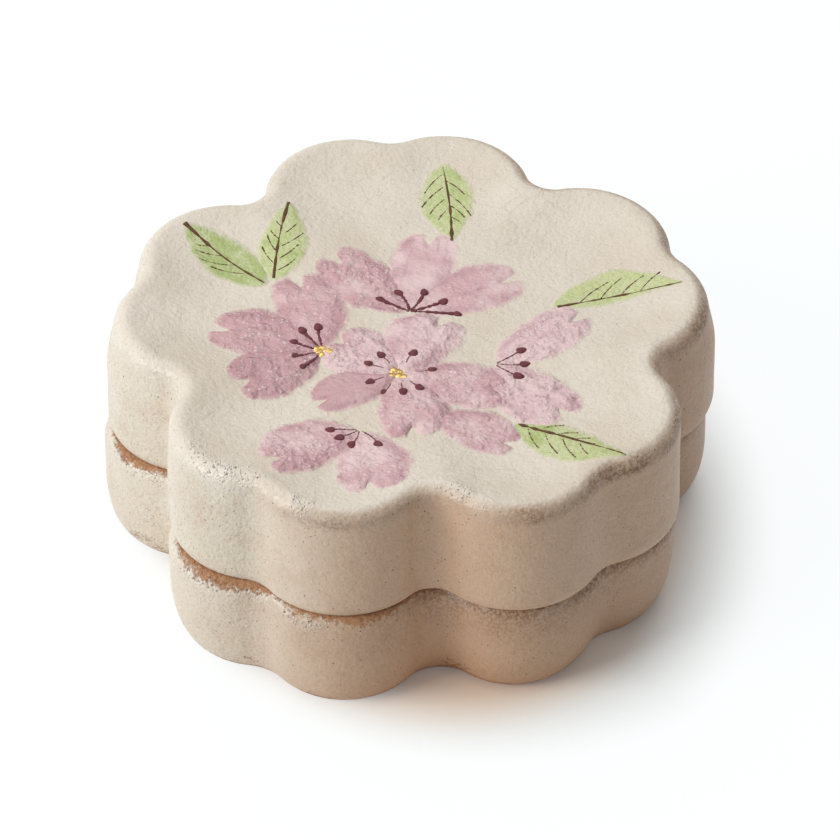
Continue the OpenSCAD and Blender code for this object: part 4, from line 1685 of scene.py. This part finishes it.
# The key lamp stands low on the left, the overhead lamp is a large soft box; sizes are in metres
Lamp = namedtuple("Lamp", "name side distance size")
LAMPS = (Lamp("key", (-0.74, -0.24, 0.48), 0.9, 0.45), Lamp("overhead", (-0.12, 0.36, 0.92), 1.0, 1.1))


def seen(w, light, looked_at):
    """One level for the light that falls on things, another for what the camera and reflections see."""
    path = w.node("ShaderNodeLightPath").outputs
    straight = w.most(path["Is Camera Ray"], path["Is Glossy Ray"], path["Is Transmission Ray"])
    return w.ramp(straight, 0.0, 1.0, light, looked_at)


def floor_finish(stage):
    """Pale floor, seen a little brighter by the camera, that keeps the box's shadow and has painted warm
    bounce light near the foot.
    """
    made, w = new_material("floor")
    coords = w.node("ShaderNodeTexCoord").outputs["Object"]
    tooth = w.noise(coords, TOOTH_PER_M, 2.0)
    normal = w.first("ShaderNodeBump", {"Height": tooth, "Distance": TOOTH_H, "Strength": TOOTH_STRENGTH})
    from_box = w.vector("LENGTH", w.vector("MULTIPLY", coords, GLOW_SQUASH))
    # Painted bounce light: the floor is tinted warm close to the foot.
    painted_bounce = w.blend(w.ramp(from_box, *BOUNCE_SPAN), BOUNCE_TINT, stage.floor)
    matt = w.first("ShaderNodeBsdfDiffuse", {"Color": painted_bounce, "Normal": normal})
    from_box = w.add(from_box, w.most(w.vector("DOT_PRODUCT", coords, LIT_SIDE), 0.0))
    glow_here = w.ramp(from_box, *GLOW_SPAN, stage.floor_glow, stage.far_glow)
    glow = w.first("ShaderNodeEmission", {"Color": (*stage.glow, 1), "Strength": FLOOR_SHINE})
    both = w.node("ShaderNodeMixShader")
    for socket, value in zip(both.inputs, (seen(w, 0.0, glow_here), matt, glow)):
        w.feed(socket, value)
    w.feed(w.node("ShaderNodeOutputMaterial").inputs["Surface"], both.outputs[0])
    return made


class KOGO_OT_stage(bpy.types.Operator):
    """Set the floor, the soft studio light and the camera"""

    bl_idname = "kogo.stage"
    bl_label = "Stage"

    def execute(self, context):
        scene = context.scene
        stage = scene.kogo_stage
        h = FLOOR_HALF
        corners = ((-h, -h, 0), (h, -h, 0), (h, h, 0), (-h, h, 0))
        floor = new_object("floor", corners, faces=((0, 1, 2, 3),))
        floor.data.materials.append(floor_finish(stage))

        world = bpy.data.worlds.new("studio")
        world.use_nodes = True
        world.node_tree.nodes.clear()
        w = Weaver(world.node_tree)
        sky = w.node("ShaderNodeBackground", {"Color": (1, 1, 1, 1), "Strength": seen(w, stage.fill, 1.0)})
        w.feed(w.node("ShaderNodeOutputWorld").inputs["Surface"], sky.outputs[0])
        scene.world = world

        for lamp in LAMPS:
            light = bpy.data.lights.new(lamp.name, "AREA")
            light.energy = getattr(stage, f"{lamp.name}_power")
            light.size = lamp.size
            hung = linked(lamp.name, light)
            way = Vector(lamp.side).normalized()
            hung.location = way * lamp.distance
            hung.rotation_mode = "QUATERNION"
            hung.rotation_quaternion = (-way).to_track_quat("-Z", "Y")

        shot = bpy.data.cameras.new("camera")
        shot.lens = stage.lens
        camera = linked("camera", shot)
        level = math.cos(stage.elevation)
        back = Vector((math.sin(stage.azimuth) * level, -math.cos(stage.azimuth) * level,
                       math.sin(stage.elevation)))
        camera.location = Vector(stage.look_at) + back * stage.distance
        camera.rotation_mode = "QUATERNION"
        roll = Quaternion((0, 0, 1), stage.roll)
        camera.rotation_quaternion = (-back).to_track_quat("-Z", "Y") @ roll
        scene.camera = camera
        scene.view_settings.view_transform = "Standard"
        return {"FINISHED"}


OPERATORS = (KOGO_OT_lid, KOGO_OT_body, KOGO_OT_petals, KOGO_OT_leaves, KOGO_OT_stamens, KOGO_OT_veins,
             KOGO_OT_gold, KOGO_OT_grit, KOGO_OT_stage)
GROUPS = {"kogo_form": KogoForm, "kogo_glaze": KogoGlaze, "kogo_painting": KogoPainting,
          "kogo_stage": KogoStage}


class KOGO_PT_panel(bpy.types.Panel):
    """Lists the pieces of the kogo and their sizes and colours"""

    bl_idname = "KOGO_PT_panel"
    bl_label = "Cherry Blossom Kogo"
    bl_space_type = "VIEW_3D"
    bl_region_type = "UI"
    bl_category = "Kogo"

    def draw(self, context):
        for operator in OPERATORS:
            self.layout.operator(operator.bl_idname)
        for name, group in GROUPS.items():
            box = self.layout.box()
            for key in group.__annotations__:
                box.prop(getattr(context.scene, name), key)


def register():
    for group in GROUPS.values():
        bpy.utils.register_class(group)
    for cls in (*OPERATORS, KOGO_PT_panel):
        bpy.utils.register_class(cls)
    for name, group in GROUPS.items():
        setattr(bpy.types.Scene, name, PointerProperty(type=group))


def unregister():
    for name in GROUPS:
        delattr(bpy.types.Scene, name)
    for cls in (KOGO_PT_panel, *reversed(OPERATORS), *reversed(GROUPS.values())):
        bpy.utils.unregister_class(cls)


def main():
    register()
    for operator in OPERATORS:
        area, name = operator.bl_idname.split(".")
        getattr(getattr(bpy.ops, area), name)()


if __name__ == "__main__":
    main()
